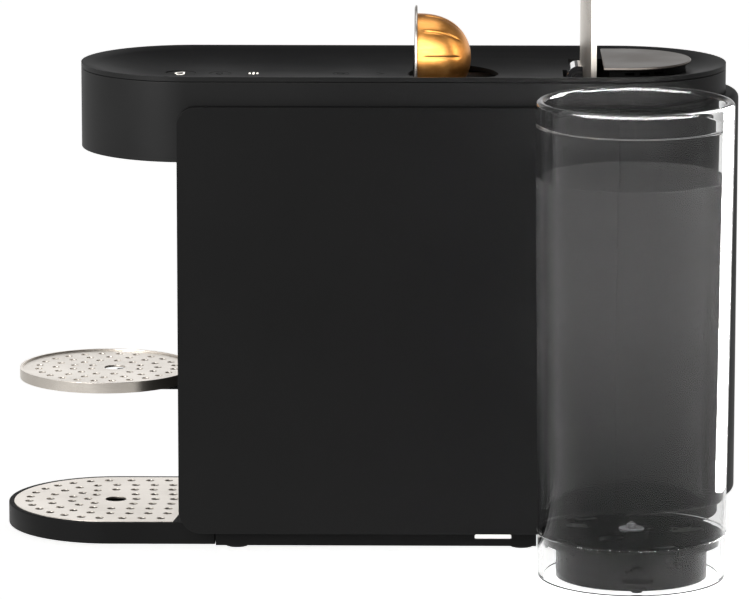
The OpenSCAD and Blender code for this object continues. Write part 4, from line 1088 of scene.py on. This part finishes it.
@dataclass
class Studio:
    """Camera, pale floor, soft lights and the pale surroundings, with sizes in metres.

    The floor glows most in a band that widens to the rear from a half-width of glow_half round
    glow_middle, and starts at glow_front. The rest of it glows by floor_dim.
    """

    eye: Place = (-0.0993, -3.0725, 0.7165)
    right: Place = (0.99994382, 0.01058205, 0.00061570)
    up: Place = (-0.00260155, 0.18869404, 0.98203248)
    ahead: Place = (-0.01027574, 0.98197891, -0.18871097)
    lens: float = 272.8
    sensor: float = 36.0
    clip: Point = (0.1, 60.0)
    floor_r: float = 14.0
    board_tones: tuple[str, str] = ("#f2f2f1", "#f8f8f8")
    glow_middle: float = -0.135
    glow_half: float = 0.235
    glow_spread: float = 0.07
    glow_fade: float = 0.22
    glow_front: float = -0.195
    front_fade: float = 0.06
    floor_glow: float = 1.0
    floor_dim: float = 0.5
    # The sky's strength from ahead of the machine to behind it, and the directions between which it turns
    sky: Point = (0.3, 1.0)
    sky_turn: Point = (-0.2, 0.4)
    # The share of that strength from low down to high up, and between which directions it falls
    sky_fall: Point = (1.0, 0.15)
    sky_rise: Point = (0.1, 0.4)
    floor: Object | None = field(default=None, init=False)

    def build(self) -> None:
        """Sets up everything that isn't the machine."""
        bpy.context.scene.view_settings.view_transform = "Standard"
        self._camera()
        self._floor()
        self._sky()
        for box in ROOM:
            self._light(box)

    def _camera(self) -> None:
        """Places the camera at its eye point."""
        data = bpy.data.cameras.new("camera")
        data.lens, data.sensor_width = self.lens, self.sensor
        data.clip_start, data.clip_end = self.clip
        camera = bpy.data.objects.new("camera", data)
        turn = Matrix((self.right, self.up, tuple(-a for a in self.ahead))).transposed().to_4x4()
        camera.matrix_world = Matrix.Translation(self.eye) @ turn
        bpy.context.scene.collection.objects.link(camera)
        bpy.context.scene.camera = camera

    def _floor(self) -> None:
        """Lays a wide round floor of pale board."""
        mesh = bmesh.new()
        bmesh.ops.create_circle(mesh, cap_ends=True, segments=128, radius=self.floor_r)
        data = bpy.data.meshes.new("floor")
        mesh.to_mesh(data)
        mesh.free()
        data.materials.append(self._board())
        self.floor = bpy.data.objects.new("floor", data)
        bpy.context.scene.collection.objects.link(self.floor)

    def _board(self) -> Material:
        """Makes the floor's board: matt and white, lit from below and most where the machine stands."""
        board = bpy.data.materials.new("matt_white_board")
        board.use_nodes = True
        tree = board.node_tree
        shader = tree.nodes["Principled BSDF"]
        place = add_node(tree, "ShaderNodeTexCoord").outputs["Object"]
        noise = add_node(tree, "ShaderNodeTexNoise", {"Vector": place, "Scale": 0.6, "Detail": 2.0})
        tone = add_tones(tree, noise.outputs["Fac"], list(zip((0.0, 1.0), self.board_tones)))
        split = add_node(tree, "ShaderNodeSeparateXYZ", {"Vector": place})
        off = add_sum(tree, "ABSOLUTE", add_sum(tree, "SUBTRACT", split.outputs["X"], self.glow_middle))
        half = add_sum(tree, "MULTIPLY_ADD", split.outputs["Y"], self.glow_spread, self.glow_half)
        across = add_ramp(tree, add_sum(tree, "SUBTRACT", off, half), (self.glow_fade, 0.0), (0.0, 1.0))
        along = add_ramp(tree, split.outputs["Y"], (self.glow_front - self.front_fade, self.glow_front),
                         (0.0, self.floor_glow - self.floor_dim))
        tree.links.new(tone, shader.inputs["Base Color"])
        tree.links.new(tone, shader.inputs["Emission Color"])
        tree.links.new(add_sum(tree, "MULTIPLY_ADD", across, along, self.floor_dim),
                       shader.inputs["Emission Strength"])
        shader.inputs["Roughness"].default_value = 0.9
        shader.inputs["Specular IOR Level"].default_value = 0.0
        return board

    def _sky(self) -> None:
        """Makes the surroundings: pale low behind the machine, darker overhead and in front of it."""
        world = bpy.data.worlds.new("studio")
        world.use_nodes = True
        tree = world.node_tree
        place = add_node(tree, "ShaderNodeTexCoord").outputs["Generated"]
        split = add_node(tree, "ShaderNodeSeparateXYZ", {"Vector": place})
        strength = add_ramp(tree, split.outputs["Y"], self.sky_turn, self.sky)
        share = add_ramp(tree, split.outputs["Z"], self.sky_rise, self.sky_fall)
        background = tree.nodes["Background"]
        background.inputs["Color"].default_value = (1.0, 1.0, 1.0, 1.0)
        tree.links.new(add_sum(tree, "MULTIPLY", strength, share), background.inputs["Strength"])
        bpy.context.scene.world = world

    def shine_on(self, tank: Sequence[Object], metal: Sequence[Object], steel: Sequence[Object]) -> None:
        """Adds the lights that only some pieces catch.

        Args:
            tank: Clear pieces.
            metal: Bright pieces that stand upright or are curved.
            steel: Level plates.
        """
        for boxes, lit in ((ON_TANK, tank), (ON_METAL, metal), (ON_STEEL, steel)):
            for box in boxes:
                self._light(box, lit)

    def _light(self, box: Softbox, only: Sequence[Object] = ()) -> None:
        """Adds a soft light that isn't seen itself.

        Args:
            box: What it is like.
            only: The pieces that it lights, or none for all but the floor.
        """
        data = bpy.data.lights.new(box.name, "AREA")
        data.shape = "RECTANGLE"
        data.size, data.size_y = box.size
        data.energy = box.power
        lamp = bpy.data.objects.new(box.name, data)
        lamp.location = box.place
        lamp.rotation_mode = "QUATERNION"
        lamp.rotation_quaternion = (Vector(box.aim) - Vector(box.place)).to_track_quat("-Z", "Y")
        lamp.visible_camera = False
        lamp.visible_transmission = False
        bpy.context.scene.collection.objects.link(lamp)
        group = bpy.data.collections.new(f"lit_by_{box.name}")
        for piece in only or [self.floor]:
            group.objects.link(piece)
        if not only:
            group.collection_objects[0].light_linking.link_state = "EXCLUDE"
        lamp.light_linking.receiver_collection = group


def main() -> None:
    """Builds the studio and the sub-assemblies in order, and reports each piece."""
    logging.basicConfig(level=logging.INFO, format="%(message)s")
    studio = Studio()
    studio.build()
    lever, pod, tank, grate, support = LeverUnit(), Pod(), Tank(), DripTray(), CupSupport()
    for assembly in (Housing(), Plinth(), grate, support, lever, pod, BrewUnit(),
                     WaterAndPower(), Buttons(), tank, Dock()):
        assembly.build()
        assembly.report()
    studio.shine_on([p for p in tank.made if p.name.startswith(("tank_wall", "tank_rib"))],
                    pod.made + [p for p in lever.made if p.name.startswith(("lever_", "rear_plate"))],
                    [p for p in grate.made + support.made if p.name.startswith(("grid", "cup_disc"))])


if __name__ == "__main__":
    main()
